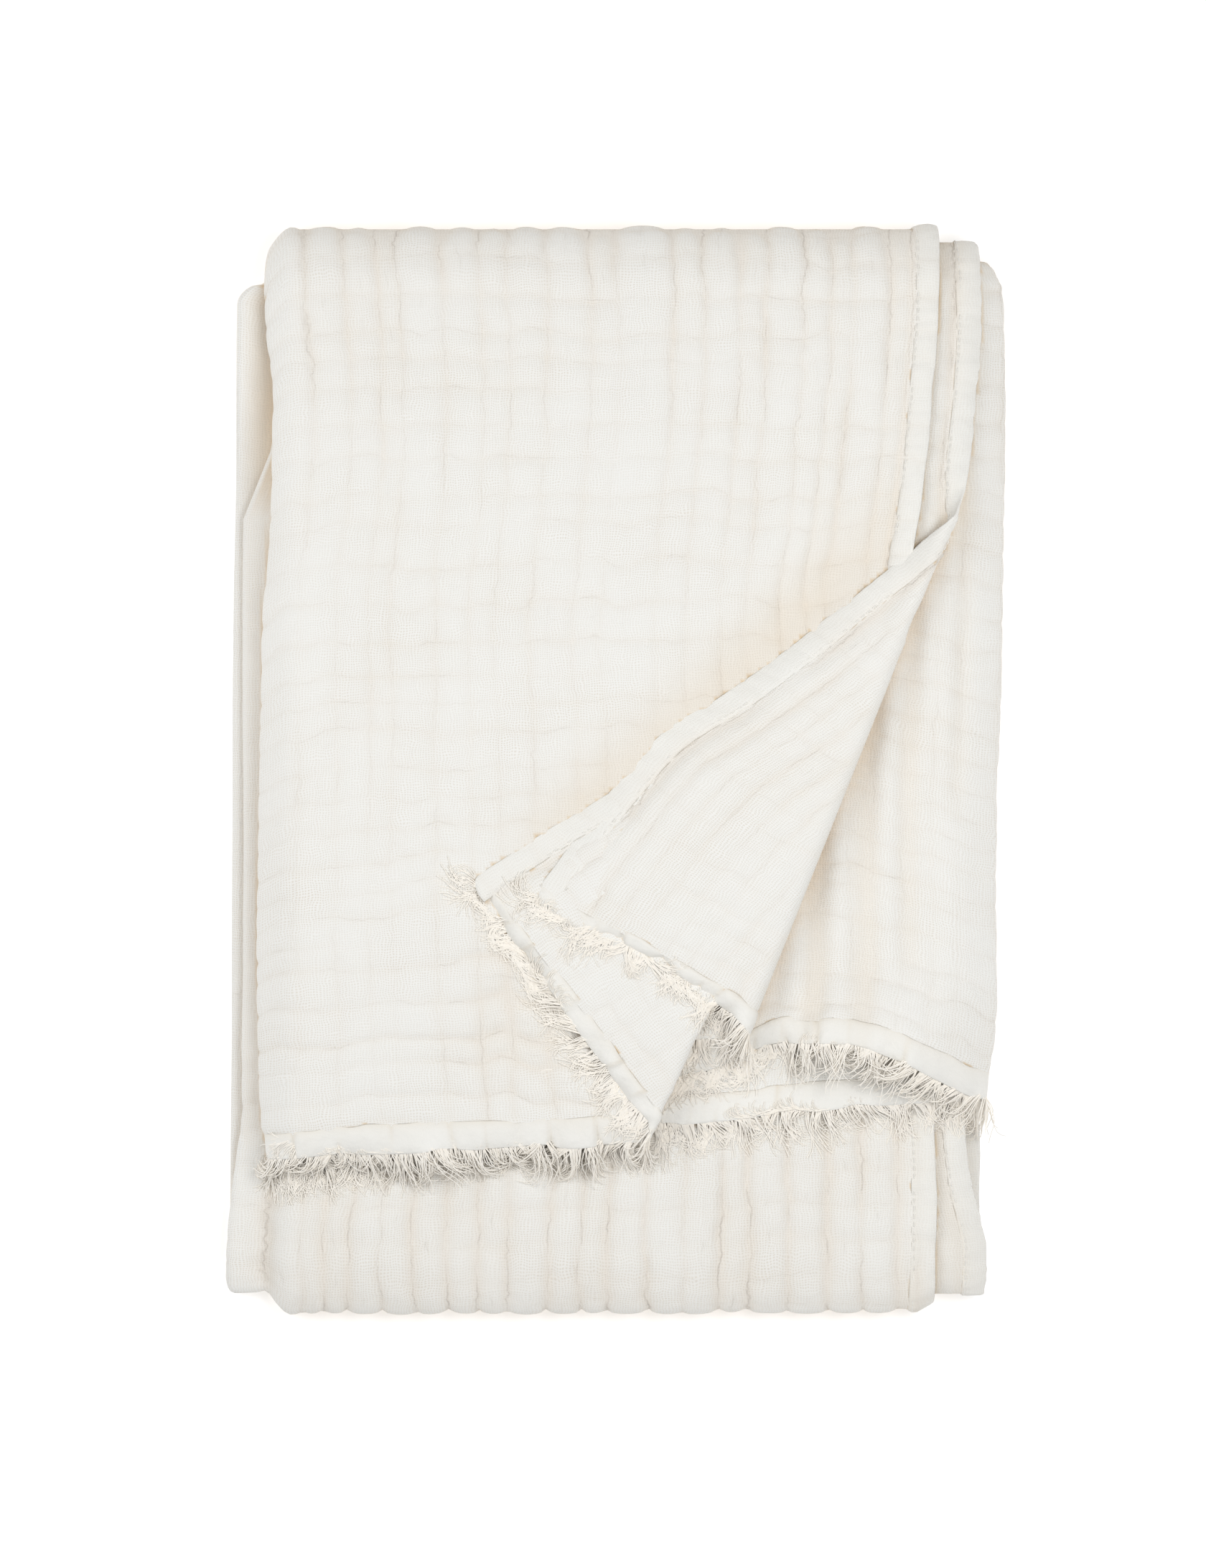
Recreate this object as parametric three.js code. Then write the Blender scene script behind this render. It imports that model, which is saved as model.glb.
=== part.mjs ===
// Muslin throw blanket, folded: one cloth folded lengthwise in quarters into a strip of four layers,
// the strip then folded crosswise in three, with two layers' corners turned back on the top panel.
// Millimetres, +Z up. The folded blanket lies on z = 0 and is centred on the origin. +Y runs along the
// cloth's length towards the top fold, +X towards the side where both long hems lie.
//
// A place on the cloth has two coordinates. "across" runs 0..7 over the seven stretches of the
// four-layer section: layer A, outer left fold, layer D, right fold, layer C, inner left fold, layer B.
// "along" runs 0..5 over the five stretches of the strip: top panel, top fold, bottom panel, bottom
// fold, inner panel. Below 0 and above 5 it goes on into the two fringes.

import * as THREE from 'three';

// ---- Driving dimensions ---------------------------------------------------------------------

const CLOTH_THICKNESS = 1.8;
const LAYER_PITCH = 3.2;          // from one layer's middle to the next one's
const PIECE_GAP = 0.35;           // between the cloth's end and its fringe

// Crosswise folds, given for layer D, which lies innermost. Each layer outside it reaches further.
const TOP_FOLD = { start: 217, reach: 5.5, reachPerLayer: 7.5 };
const BOTTOM_FOLD = { start: -217.5, reach: 2, reachPerLayer: 8.5 };
const INNER_END = 199;            // where the hidden end of the cloth stops, inside the top fold

// Lengthwise folds: how far each fold's round end reaches beyond the flat of its layers.
const OUTER_FOLD_REACH = 2.4;
const INNER_FOLD_REACH = 2;
const RIGHT_FOLD_REACH = 2;

// The fringe at both ends.
const FRINGE = { length: 16, heading: 3, tuftsPerLayer: 7, tuftShare: 0.7, unevenness: 0.14, ripple: 2.4 };
const FRINGE_UNIT = 100;          // millimetres for each step of "along" beyond the cloth's ends

// Heights are counted in layers above the surface. Each panel's layer D, and the way up from D to A.
const TOP_PANEL = { layerD: 8, up: 1 };
const BOTTOM_PANEL = { layerD: 3, up: -1 };
const INNER_PANEL = { layerD: 4, up: 1 };

// Where the strip's edges and hems lie along its length.
const EDGES = [
  { along: 0.000, outer: -157, inner: -148, right: 166, hemA: 160, hemB: 177 },
  { along: 0.125, outer: -160, inner: -148, right: 171, hemA: 155, hemB: 184 },
  { along: 0.250, outer: -161, inner: -148, right: 170.5, hemA: 148, hemB: 187 },
  { along: 0.375, outer: -160, inner: -148, right: 171, hemA: 141, hemB: 177 },
  { along: 0.500, outer: -159, inner: -148, right: 173, hemA: 135, hemB: 169 },
  { along: 0.625, outer: -158, inner: -148, right: 174, hemA: 131, hemB: 163 },
  { along: 0.750, outer: -154, inner: -147, right: 175, hemA: 137, hemB: 158 },
  { along: 0.875, outer: -153, inner: -147, right: 175, hemA: 142, hemB: 162 },
  { along: 1.000, outer: -157, inner: -148, right: 174, hemA: 145, hemB: 164 },
  { along: 1.500, outer: -158, inner: -148, right: 168, hemA: 144, hemB: 162 },
  { along: 2.000, outer: -167, inner: -149, right: 160, hemA: 143, hemB: 158 },
  { along: 3.000, outer: -174, inner: -150, right: 155, hemA: 143, hemB: 165 },
  { along: 4.000, outer: -175, inner: -150, right: 155, hemA: 144, hemB: 167 },
  { along: 4.080, outer: -172, inner: -150, right: 155, hemA: 144, hemB: 160 },
  { along: 4.160, outer: -168, inner: -149, right: 154, hemA: 143, hemB: 157 },
  { along: 4.800, outer: -168, inner: -145.5, right: 154, hemA: 142, hemB: 156 },
  { along: 4.920, outer: -152, inner: -141, right: 154, hemA: 142, hemB: 155 },
  { along: 5.000, outer: -149, inner: -139, right: 154, hemA: 141, hemB: 155 },
];

// Where the visible end of the cloth lies, layer by layer.
const VISIBLE_END = [
  { across: 0, y: -164 },
  { across: 0.5, y: -169 },
  { across: 0.88, y: -173 },
  { across: 1, y: -177 },
  { across: 2, y: -176 },
  { across: 2.5, y: -162 },
  { across: 3, y: -149 },
  { across: 4, y: -148 },
  { across: 4.06, y: -140 },
  { across: 4.12, y: -131 },
  { across: 4.2, y: -123 },
  { across: 4.28, y: -123 },
  { across: 4.38, y: -134 },
  { across: 5, y: -166 },
  { across: 6, y: -166 },
  { across: 6.4, y: -138 },
  { across: 6.6, y: -121 },
  { across: 7, y: -149 },
];

// The corners of layers A and B, rolled over a line and laid back. The line is where the roll reaches
// furthest, through a foot point, and its lean is the run in x for each millimetre in y.
const CORNER_A = { footX: 9.8, footY: -177.5, lean: 0.479, radius: 0.75 * LAYER_PITCH };
const CORNER_B = { footX: 60, footY: -117.6, lean: 0.399, radius: 1.7 * LAYER_PITCH };
const ROLL_STEPS = 5;
const SPLIT_SNAP = 0.1;           // a corner this close to a roll's bend lies on it

// Layer C stands up off layer D near the visible end, right of the turned-back corner of B.
const HOLLOW = { height: 15, clearOfRoll: 4, rise: 30, right: 170, run: 45, top: -80, length: 50 };

// Left of the inner folds only the outer layers go on, so they sink. Right of the lower panels the
// top panel sinks over their edge. Tables give a height, in layers, and the height it sinks to.
const LEFT_EDGE = { from: -149, over: 20 };
const LEFT_SINK = [
  { height: 0, sunk: 0 },
  { height: 3, sunk: 1 },
  { height: 4, sunk: 2.1 },
  { height: 7, sunk: 3.1 },
  { height: 20, sunk: 16.1 },
];
const RIGHT_EDGE = { from: 148, over: 32 };
const RIGHT_SINK = [
  { height: 0, sunk: 0 },
  { height: 1, sunk: 1 },
  { height: 6, sunk: 2.5 },
  { height: 20, sunk: 16.5 },
];

// The crosswise folds draw back at the strip's sides, where fewer layers go round them.
const TOP_DRAW_BACK = { from: -145, over: 26, by: 26 };
const BOTTOM_DRAW_BACK = { from: -146, over: 14, by: 10 };
const HEM_A_DRAW_BACK = { from: 134, over: 10, by: 5 };
const INNER_END_DRAW_BACK = { from: -105, over: 60, by: 16 };

// Soft lengthwise pleats of layer A: a row for each groove, as a share of the layer's width from hem a.
const PLEATS = [
  { at: 0.05, deep: 0.6 },
  { at: 0.13, deep: 0.9 },
  { at: 0.23, deep: 0.6 },
  { at: 0.36, deep: 0.9 },
  { at: 0.5, deep: 0.5 },
  { at: 0.63, deep: 0.9 },
  { at: 0.76, deep: 0.8 },
  { at: 0.88, deep: 0.7 },
];
const PLEAT_CREST = 0.5;

// Where each stretch is divided into facets, as shares of it. Folds take even steps.
const DIVIDE_ACROSS = {
  layerA: [0.94, 0.965, 0.985],
  outerFold: 4,
  layerD: [0.03, 0.06, 0.25, 0.5, 0.75, 0.935, 0.97],
  rightFold: 4,
  layerC: [0.03, 0.06, 0.12, 0.2, 0.28, 0.33, 0.38, 0.6],
  innerFold: 4,
  layerB: [0.4, 0.5, 0.6, 0.7, 0.8, 0.9, 0.95, 0.975],
};
const DIVIDE_ALONG = {
  topPanel: 8,
  topFold: 6,
  bottomPanel: 1,
  bottomFold: 6,
  innerPanel: [0.08, 0.16, 0.8, 0.92],
};

const CLOTH_MATERIAL = new THREE.MeshStandardMaterial({ color: 0xf1ede4, roughness: 0.95, metalness: 0 });
const FRINGE_MATERIAL = new THREE.MeshStandardMaterial({ color: 0xf4f0e8, roughness: 0.9, metalness: 0 });

// ---- Small helpers --------------------------------------------------------------------------

const mix = (from, to, share) => from + (to - from) * share;

function smooth(value) {
  const t = Math.min(1, Math.max(0, value));
  return t * t * (3 - 2 * t);
}

// Straight interpolation in a table, by one named column.
function readTable(table, key, place, column) {
  let row = 1;
  while (row < table.length - 1 && place > table[row][key]) row += 1;
  const low = table[row - 1];
  const high = table[row];
  const share = Math.min(1, Math.max(0, (place - low[key]) / (high[key] - low[key])));
  return mix(low[column], high[column], share);
}

// ---- The folded shape -----------------------------------------------------------------------

// The four-layer section: x across the strip, and height in layers above layer D.
function sectionAt(across, along) {
  const edge = (name) => readTable(EDGES, 'along', along, name);
  const stretch = Math.min(6, Math.max(0, Math.floor(across)));
  const share = across - stretch;
  const turn = Math.PI * (share - 0.5);
  const outerFlat = edge('outer') + OUTER_FOLD_REACH;
  const innerFlat = edge('inner') + INNER_FOLD_REACH;
  const rightFlat = edge('right') - RIGHT_FOLD_REACH;
  const stretches = [
    () => ({ x: mix(edge('hemA'), outerFlat, share), level: 3 + pleatAt(share) * pleatShare(along) }),
    () => ({ x: outerFlat - OUTER_FOLD_REACH * Math.cos(turn), level: 1.5 - 1.5 * Math.sin(turn) }),
    () => ({ x: mix(outerFlat, rightFlat, share), level: 0 }),
    () => ({ x: rightFlat + RIGHT_FOLD_REACH * Math.cos(turn), level: 0.5 + 0.5 * Math.sin(turn) }),
    () => ({ x: mix(rightFlat, innerFlat, share), level: 1 }),
    () => ({ x: innerFlat - INNER_FOLD_REACH * Math.cos(turn), level: 1.5 + 0.5 * Math.sin(turn) }),
    () => ({ x: mix(innerFlat, edge('hemB'), share), level: 2 }),
  ];
  return { stretch, ...stretches[stretch]() };
}

// Pleats of layer A, in layers: grooves at the table's places with crests midway between them.
function pleatAt(share) {
  const places = [{ at: 0, lift: 0 }];
  PLEATS.forEach((pleat, i) => {
    if (i > 0) places.push({ at: (PLEATS[i - 1].at + pleat.at) / 2, lift: PLEAT_CREST });
    places.push({ at: pleat.at, lift: -pleat.deep * 0.5 });
  });
  places.push({ at: 1, lift: 0 });
  return readTable(places, 'at', share, 'lift') / LAYER_PITCH;
}

// The bottom panel has no pleats: there layer A lies flat on the surface.
const pleatShare = (along) => 1 - smooth(along - 1) * smooth(4 - along);

const topStart = (x) => TOP_FOLD.start
  - TOP_DRAW_BACK.by * smooth((TOP_DRAW_BACK.from - x) / TOP_DRAW_BACK.over);

// The outer layers' reach shrinks at the left side of the bottom fold, and layer A's beside its hem.
const bottomDrawBack = (x, level) => (
  BOTTOM_DRAW_BACK.by * level / 3 * smooth((BOTTOM_DRAW_BACK.from - x) / BOTTOM_DRAW_BACK.over)
  + HEM_A_DRAW_BACK.by * smooth(level - 2) * smooth((x - HEM_A_DRAW_BACK.from) / HEM_A_DRAW_BACK.over));

// Place of the layers before corners are turned back: x, y and height in layers.
function layout(across, along) {
  const { stretch, x, level } = sectionAt(across, along);
  const visibleEnd = readTable(VISIBLE_END, 'across', across, 'y');
  const hiddenEnd = INNER_END
    - INNER_END_DRAW_BACK.by * smooth((INNER_END_DRAW_BACK.from - x) / INNER_END_DRAW_BACK.over);
  let y;
  let height;
  if (along < 1) {
    y = along < 0 ? visibleEnd + along * FRINGE_UNIT : mix(visibleEnd, topStart(x), along);
    height = TOP_PANEL.layerD + TOP_PANEL.up * level;
  } else if (along < 2) {
    const turn = Math.PI * (1.5 - along);
    const middle = (TOP_PANEL.layerD + BOTTOM_PANEL.layerD) / 2;
    const reach = TOP_FOLD.reach + TOP_FOLD.reachPerLayer * level;
    y = topStart(x) + reach * Math.cos(turn);
    height = middle + (TOP_PANEL.layerD - middle + level) * Math.sin(turn);
  } else if (along < 3) {
    y = mix(topStart(x), BOTTOM_FOLD.start, along - 2);
    height = BOTTOM_PANEL.layerD + BOTTOM_PANEL.up * level;
  } else if (along < 4) {
    const turn = Math.PI * (along - 3.5);
    const middle = (BOTTOM_PANEL.layerD + INNER_PANEL.layerD) / 2;
    const reach = BOTTOM_FOLD.reach + BOTTOM_FOLD.reachPerLayer * level - bottomDrawBack(x, level);
    y = BOTTOM_FOLD.start - reach * Math.cos(turn);
    height = middle + (INNER_PANEL.layerD - middle + level) * Math.sin(turn);
  } else {
    y = along > 5 ? hiddenEnd + (along - 5) * FRINGE_UNIT : mix(BOTTOM_FOLD.start, hiddenEnd, along - 4);
    height = INNER_PANEL.layerD + INNER_PANEL.up * level;
  }
  if (along < 1) height += hollowAt(stretch, level, x, y);
  return { stretch, x, y, height };
}

// Distance right of a corner's roll, measured square to its line from where the roll begins.
function beyondRoll(corner, x, y) {
  const length = Math.hypot(1, corner.lean);
  return (x - corner.footX - corner.lean * (y - corner.footY)) / length + corner.radius;
}

function hollowAt(stretch, level, x, y) {
  if (stretch !== 3 && stretch !== 4) return 0;
  const clear = beyondRoll(CORNER_B, x, y) - CORNER_B.radius - HOLLOW.clearOfRoll;
  const lift = HOLLOW.height * smooth(clear / HOLLOW.rise) * smooth((HOLLOW.right - x) / HOLLOW.run)
    * smooth((HOLLOW.top - y) / HOLLOW.length);
  return level * lift / LAYER_PITCH;
}

const cornerOf = (stretch, along) => {
  if (along >= 1) return null;
  return { 0: CORNER_A, 6: CORNER_B }[stretch] ?? null;
};

// Rolls what lies beyond a corner's line over and lays it back on top.
function turnBack(corner, place) {
  const beyond = beyondRoll(corner, place.x, place.y);
  if (beyond <= 0) return place;
  const length = Math.hypot(1, corner.lean);
  const angle = Math.min(Math.PI, beyond / corner.radius);
  const kept = corner.radius * Math.sin(angle) - Math.max(0, beyond - Math.PI * corner.radius);
  const shift = kept - beyond;
  return {
    x: place.x + shift / length,
    y: place.y - shift * corner.lean / length,
    height: place.height + corner.radius * (1 - Math.cos(angle)) / LAYER_PITCH,
  };
}

function sinkAtSides(x, height) {
  const left = readTable(LEFT_SINK, 'height', height, 'sunk') - height;
  const right = readTable(RIGHT_SINK, 'height', height, 'sunk') - height;
  return height + left * smooth((LEFT_EDGE.from - x) / LEFT_EDGE.over)
    + right * smooth((x - RIGHT_EDGE.from) / RIGHT_EDGE.over);
}

// The middle of the cloth at a place on it.
function clothPoint(across, along) {
  let place = layout(across, along);
  const corner = cornerOf(place.stretch, along);
  if (corner) place = turnBack(corner, place);
  const height = sinkAtSides(place.x, place.height);
  return new THREE.Vector3(place.x, place.y, CLOTH_THICKNESS / 2 + LAYER_PITCH * height);
}

function clothNormal(across, along) {
  const step = 1e-4;
  const overAcross = clothPoint(across + step, along).sub(clothPoint(across - step, along));
  const overAlong = clothPoint(across, along + step).sub(clothPoint(across, along - step));
  return overAcross.cross(overAlong).normalize();
}

// ---- Dividing the cloth into facets -----------------------------------------------------------

// The places that divide a row of stretches: a number is a count of even steps, a list its inner shares.
function divide(stretches) {
  return Object.values(stretches).flatMap((division, stretch) => {
    const evenly = (count) => Array.from({ length: count - 1 }, (_, i) => (i + 1) / count);
    const shares = Array.isArray(division) ? division : evenly(division);
    return [stretch, ...shares.map((share) => stretch + share)];
  }).concat(Object.keys(stretches).length);
}

// Layer A has a place at each groove and each crest of its pleats.
function acrossPlaces() {
  const crests = PLEATS.slice(1).map((pleat, i) => (PLEATS[i].at + pleat.at) / 2);
  const grooves = PLEATS.map((pleat) => pleat.at);
  return [...divide(DIVIDE_ACROSS), ...crests, ...grooves].sort((a, b) => a - b);
}

const facet = (left, right, low, high) => [[left, high], [left, low], [right, low], [right, high]];

// The cloth's facets. Those at its two ends also take each place where a comb beside them bends.
function clothFacets() {
  const across = acrossPlaces();
  const along = divide(DIVIDE_ALONG);
  const between = (left, right) => endPlaces().filter((place) => place > left && place < right);
  return along.slice(1).flatMap((high, row) => (
    across.slice(1).map((right, column) => {
      const left = across[column];
      const low = along[row];
      const points = facet(left, right, low, high);
      const inner = between(left, right);
      if (row === 0) points.splice(2, 0, ...inner.map((place) => [place, low]));
      if (row === along.length - 2) {
        return [points[1], points[2], points[3], ...inner.reverse().map((place) => [place, high]), points[0]];
      }
      return points;
    })));
}

// Where the tufts of a comb begin and end: evenly over each layer, and none on the folds.
function tuftEdges() {
  return [0, 2, 4, 6].flatMap((layer) => (
    Array.from({ length: FRINGE.tuftsPerLayer }, (_, i) => ({
      from: layer + i / FRINGE.tuftsPerLayer,
      to: layer + (i + FRINGE.tuftShare) / FRINGE.tuftsPerLayer,
      length: FRINGE.length * (1 - FRINGE.unevenness * (1 + Math.cos(FRINGE.ripple * i + layer)) / 2),
    }))));
}

// Every place along the cloth's ends where the cloth or a comb bends.
function endPlaces() {
  const tufts = tuftEdges().flatMap((tuft) => [tuft.from, tuft.to]);
  return [...new Set([...acrossPlaces(), ...tufts])].sort((a, b) => a - b);
}

// One comb: a heading strip along the cloth's end, with a tuft standing off it at each step.
function fringeFacets(end, outward) {
  const at = (distance) => end + outward * distance / FRINGE_UNIT;
  const strip = (left, right, near, far) => (
    outward > 0 ? facet(left, right, at(near), at(far)) : facet(left, right, at(far), at(near)));
  const tufts = tuftEdges();
  const places = endPlaces();
  return places.slice(1).flatMap((right, i) => {
    const left = places[i];
    const tuft = tufts.find(({ from, to }) => left >= from && right <= to);
    const heading = strip(left, right, PIECE_GAP, FRINGE.heading);
    return tuft ? [heading, strip(left, right, FRINGE.heading, tuft.length)] : [heading];
  });
}

// Splits facets where they cross a level of the given measure, so that rolls bend along their line.
function splitAt(facets, measure) {
  return facets.flatMap((points) => {
    const sides = points.map(([across, along]) => {
      const side = measure(across, along);
      return Math.abs(side) < SPLIT_SNAP ? 0 : side;
    });
    if (sides.every((side) => side <= 0) || sides.every((side) => side >= 0)) return [points];
    const parts = { below: [], above: [] };
    points.forEach((point, i) => {
      const next = (i + 1) % points.length;
      if (sides[i] <= 0) parts.below.push(point);
      if (sides[i] >= 0) parts.above.push(point);
      if (sides[i] * sides[next] < 0) {
        const crossing = crossingPoint(point, points[next], sides[i], sides[next]);
        parts.below.push(crossing);
        parts.above.push(crossing);
      }
    });
    return [parts.below, parts.above];
  });
}

// The same answer from either end of an edge, so that neighbouring facets keep a common corner.
function crossingPoint(first, second, firstSide, secondSide) {
  const swap = first[0] > second[0] || (first[0] === second[0] && first[1] > second[1]);
  const [low, high] = swap ? [second, first] : [first, second];
  const [lowSide, highSide] = swap ? [secondSide, firstSide] : [firstSide, secondSide];
  const share = lowSide / (lowSide - highSide);
  return [mix(low[0], high[0], share), mix(low[1], high[1], share)];
}

function splitAtRolls(facets) {
  const corners = [{ stretch: 0, corner: CORNER_A }, { stretch: 6, corner: CORNER_B }];
  return corners.reduce((divided, { stretch, corner }) => {
    const turned = (points) => points.every(([across, along]) => (
      across >= stretch && across <= stretch + 1 && along <= 1));
    let inCorner = divided.filter(turned);
    for (let step = 0; step <= ROLL_STEPS; step += 1) {
      const level = Math.PI * corner.radius * step / ROLL_STEPS;
      inCorner = splitAt(inCorner, (across, along) => {
        const inside = across === stretch + 1 ? across - 1e-9 : across;
        const { x, y } = layout(inside, along);
        return beyondRoll(corner, x, y) - level;
      });
    }
    return [...divided.filter((points) => !turned(points)), ...inCorner];
  }, facets);
}

// ---- Solids -----------------------------------------------------------------------------------

// A closed solid of even thickness over the facets: two skins, and walls where the facets end.
function sheetSolid(facets) {
  const corners = new Map();
  const positions = [];
  const index = [];
  const cornerIndex = ([across, along]) => {
    const key = `${across.toFixed(7)} ${along.toFixed(7)}`;
    if (!corners.has(key)) {
      const half = clothNormal(across, along).multiplyScalar(CLOTH_THICKNESS / 2);
      const middle = clothPoint(across, along);
      corners.set(key, positions.length / 3);
      positions.push(...middle.clone().add(half).toArray(), ...middle.clone().sub(half).toArray());
    }
    return corners.get(key);
  };
  const edges = new Set();
  const loops = facets.map((points) => points.map(cornerIndex));
  loops.forEach((loop) => {
    for (let i = 1; i < loop.length - 1; i += 1) {
      index.push(loop[0], loop[i], loop[i + 1]);
      index.push(loop[0] + 1, loop[i + 1] + 1, loop[i] + 1);
    }
    loop.forEach((corner, i) => edges.add(`${corner} ${loop[(i + 1) % loop.length]}`));
  });
  edges.forEach((edge) => {
    const [from, to] = edge.split(' ').map(Number);
    if (edges.has(`${to} ${from}`)) return;
    index.push(from, from + 1, to + 1, from, to + 1, to);
  });
  const geometry = new THREE.BufferGeometry();
  geometry.setAttribute('position', new THREE.Float32BufferAttribute(positions, 3));
  geometry.setIndex(index);
  geometry.computeVertexNormals();
  return geometry;
}

function namedMesh(name, facets, material) {
  const mesh = new THREE.Mesh(sheetSolid(splitAtRolls(facets)), material);
  mesh.name = name;
  return mesh;
}

const blanket = new THREE.Group();
blanket.add(namedMesh('cloth', clothFacets(), CLOTH_MATERIAL));
blanket.add(namedMesh('fringe_visible_end', fringeFacets(0, -1), FRINGE_MATERIAL));
blanket.add(namedMesh('fringe_hidden_end', fringeFacets(5, 1), FRINGE_MATERIAL));

export default blanket;
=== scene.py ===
"""The folded muslin throw blanket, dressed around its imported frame.

The cloth is one thin sheet that follows its solid's folds, with the crinkles of the gauze pressed into it.
Its top layers sag more beside the turned-back corner, and its left edge and hems settle closer to what they
lie on. The hems, end bands, stitches and fringes are laid on it. Lengths are millimetres until a mesh is
made, and metres after that.

A place on the cloth has two coordinates, as in the part's source. "across" runs 0..7 over layer A,
outer left fold, layer D, right fold, layer C, inner left fold and layer B. "along" runs 0..5 over top
panel, top fold, bottom panel, bottom fold and inner panel, and goes on past both ends by FRINGE_UNIT.
"""

import math

import bpy
import numpy as np
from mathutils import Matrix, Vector
from mathutils.bvhtree import BVHTree


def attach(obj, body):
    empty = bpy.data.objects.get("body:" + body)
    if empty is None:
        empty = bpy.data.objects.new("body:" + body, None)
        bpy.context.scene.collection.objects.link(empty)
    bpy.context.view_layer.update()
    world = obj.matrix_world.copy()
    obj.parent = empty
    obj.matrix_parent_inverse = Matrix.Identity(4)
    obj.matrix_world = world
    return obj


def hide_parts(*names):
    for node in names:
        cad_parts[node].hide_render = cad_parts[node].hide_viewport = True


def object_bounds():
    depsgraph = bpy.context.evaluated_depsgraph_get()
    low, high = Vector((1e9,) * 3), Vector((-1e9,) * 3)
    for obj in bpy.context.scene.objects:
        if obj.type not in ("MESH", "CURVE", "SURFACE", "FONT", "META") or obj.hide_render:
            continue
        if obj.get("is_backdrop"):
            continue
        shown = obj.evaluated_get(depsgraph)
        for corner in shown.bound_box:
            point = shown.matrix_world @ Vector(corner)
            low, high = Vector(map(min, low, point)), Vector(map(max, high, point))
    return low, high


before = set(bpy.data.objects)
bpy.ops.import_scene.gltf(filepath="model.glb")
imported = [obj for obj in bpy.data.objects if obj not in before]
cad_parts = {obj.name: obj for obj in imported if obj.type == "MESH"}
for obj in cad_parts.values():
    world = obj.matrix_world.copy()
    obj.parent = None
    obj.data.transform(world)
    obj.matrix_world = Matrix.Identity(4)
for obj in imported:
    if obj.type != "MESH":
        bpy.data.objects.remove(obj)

CAD_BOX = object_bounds()
MM = 0.001

# ---- The folds, in millimetres ----

HALF_THICKNESS = 0.9
LAYER_PITCH = 3.2
TOP_FOLD = {"start": 217, "reach": 5.5, "per_layer": 7.5}
BOTTOM_FOLD = {"start": -217.5, "reach": 2, "per_layer": 8.5}
INNER_END = 199
OUTER_FOLD_REACH, INNER_FOLD_REACH, RIGHT_FOLD_REACH = 2.4, 2, 2
FRINGE_UNIT = 100

# Height of layer D in each panel, and the way up from D to A.
TOP_PANEL, BOTTOM_PANEL, INNER_PANEL = (8, 1), (3, -1), (4, 1)

EDGE_COLUMNS = ("outer", "inner", "right", "hem_a", "hem_b")
EDGES = {
    0: (-157, -148, 166, 160, 177),
    0.125: (-160, -148, 171, 155, 184),
    0.25: (-161, -148, 170.5, 148, 187),
    0.375: (-160, -148, 171, 141, 177),
    0.5: (-159, -148, 173, 135, 169),
    0.625: (-158, -148, 174, 131, 163),
    0.75: (-154, -147, 175, 137, 158),
    0.875: (-153, -147, 175, 142, 162),
    1: (-157, -148, 174, 145, 164),
    1.5: (-158, -148, 168, 144, 162),
    1.9: (-155.5, -148, 163, 143, 159),
    2: (-157.5, -149, 160, 143, 158),
    2.012: (-165.5, -149, 160, 143, 158),
    2.03: (-170.5, -149, 160, 143, 158),
    3: (-174, -150, 155, 143, 165),
    4: (-175, -150, 155, 144, 167),
    4.08: (-172, -150, 155, 144, 160),
    4.16: (-168, -149, 154, 143, 157),
    4.86: (-168, -145.5, 154, 142, 156),
    4.91: (-153, -141, 154, 142, 155),
    5: (-149, -139, 154, 141, 155),
}
VISIBLE_END = {
    0: -164, 0.5: -169, 0.88: -173, 1: -177, 2: -176, 2.5: -162, 3: -149, 4: -148, 4.06: -140,
    4.12: -131, 4.2: -123, 4.28: -123, 4.38: -134, 5: -166, 6: -166, 6.4: -138, 6.6: -121, 7: -149,
}

CORNER_A = {"foot": (9.8, -177.5), "lean": 0.479, "radius": 0.75 * LAYER_PITCH}
CORNER_B = {"foot": (60, -117.6), "lean": 0.399, "radius": 1.7 * LAYER_PITCH}
# Beside the turned-back corner the top layers sag along this line into the gap that it left, and the hems
# of both corners settle on what they lie on.
# Along the line, layer A also gets a painted shadow beside the hem of the turned-back corner.
SAG_LINE = {"through": (57, 34), "rise": 0.9, "beyond": 7, "depth": 5, "width": 18, "painted_shadow": 0.24,
            "right": {"from": 150, "over": -60}, "left": {"from": -70, "over": 50}}
SETTLED = {"over": 34, "above": 0.45, "edge": 9, "crossing": {"from": -8, "over": -26, "by": 1.6}}
TURNED = {"from": 1.6, "over": 3}  # where a corner counts as turned over, in radii of its roll
HOLLOW = {"height": 15, "roll": {"from": 4, "over": 30}, "right": {"from": 170, "over": -45},
          "top": {"from": -80, "over": -50}}

# Where the layers sink at the stack's sides, and from a height in layers to the height that is left. A rule
# takes hold from one place over so many millimetres, to the left or front where that is less than 0.
LEFT_EDGE = {"from": -140, "over": -28}
LEFT_SINK = {0: 0, 3: 1, 4: 2.1, 7: 3.1, 8: 3.75, 11: 5.3, 20: 14}
# Towards the back fold the bottom panel's left edge rises again, by some layers.
LEFT_RISE = ({"from": 132, "over": 32, "by": 2}, {"from": 160, "over": 35, "by": 1.9})
RIGHT_EDGE = {"from": 148, "over": 32}
RIGHT_SINK = {0: 0, 1: 1, 6: 2.5, 20: 16.5}

# How far the folds and the hidden end are drawn in at their sides. The lower half of the back fold turns
# out again on the left.
TOP_DRAW_BACK = {"from": -145, "over": -26, "by": 26, "turned_out": 1.25, "from_along": 1.5}
BOTTOM_DRAW_BACK = {"from": -146, "over": -14, "by": 10}
HEM_A_DRAW_BACK = {"from": 134, "over": 10, "by": 5}
INNER_END_DRAW_BACK = {"from": -105, "over": -60, "by": 16}

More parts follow.
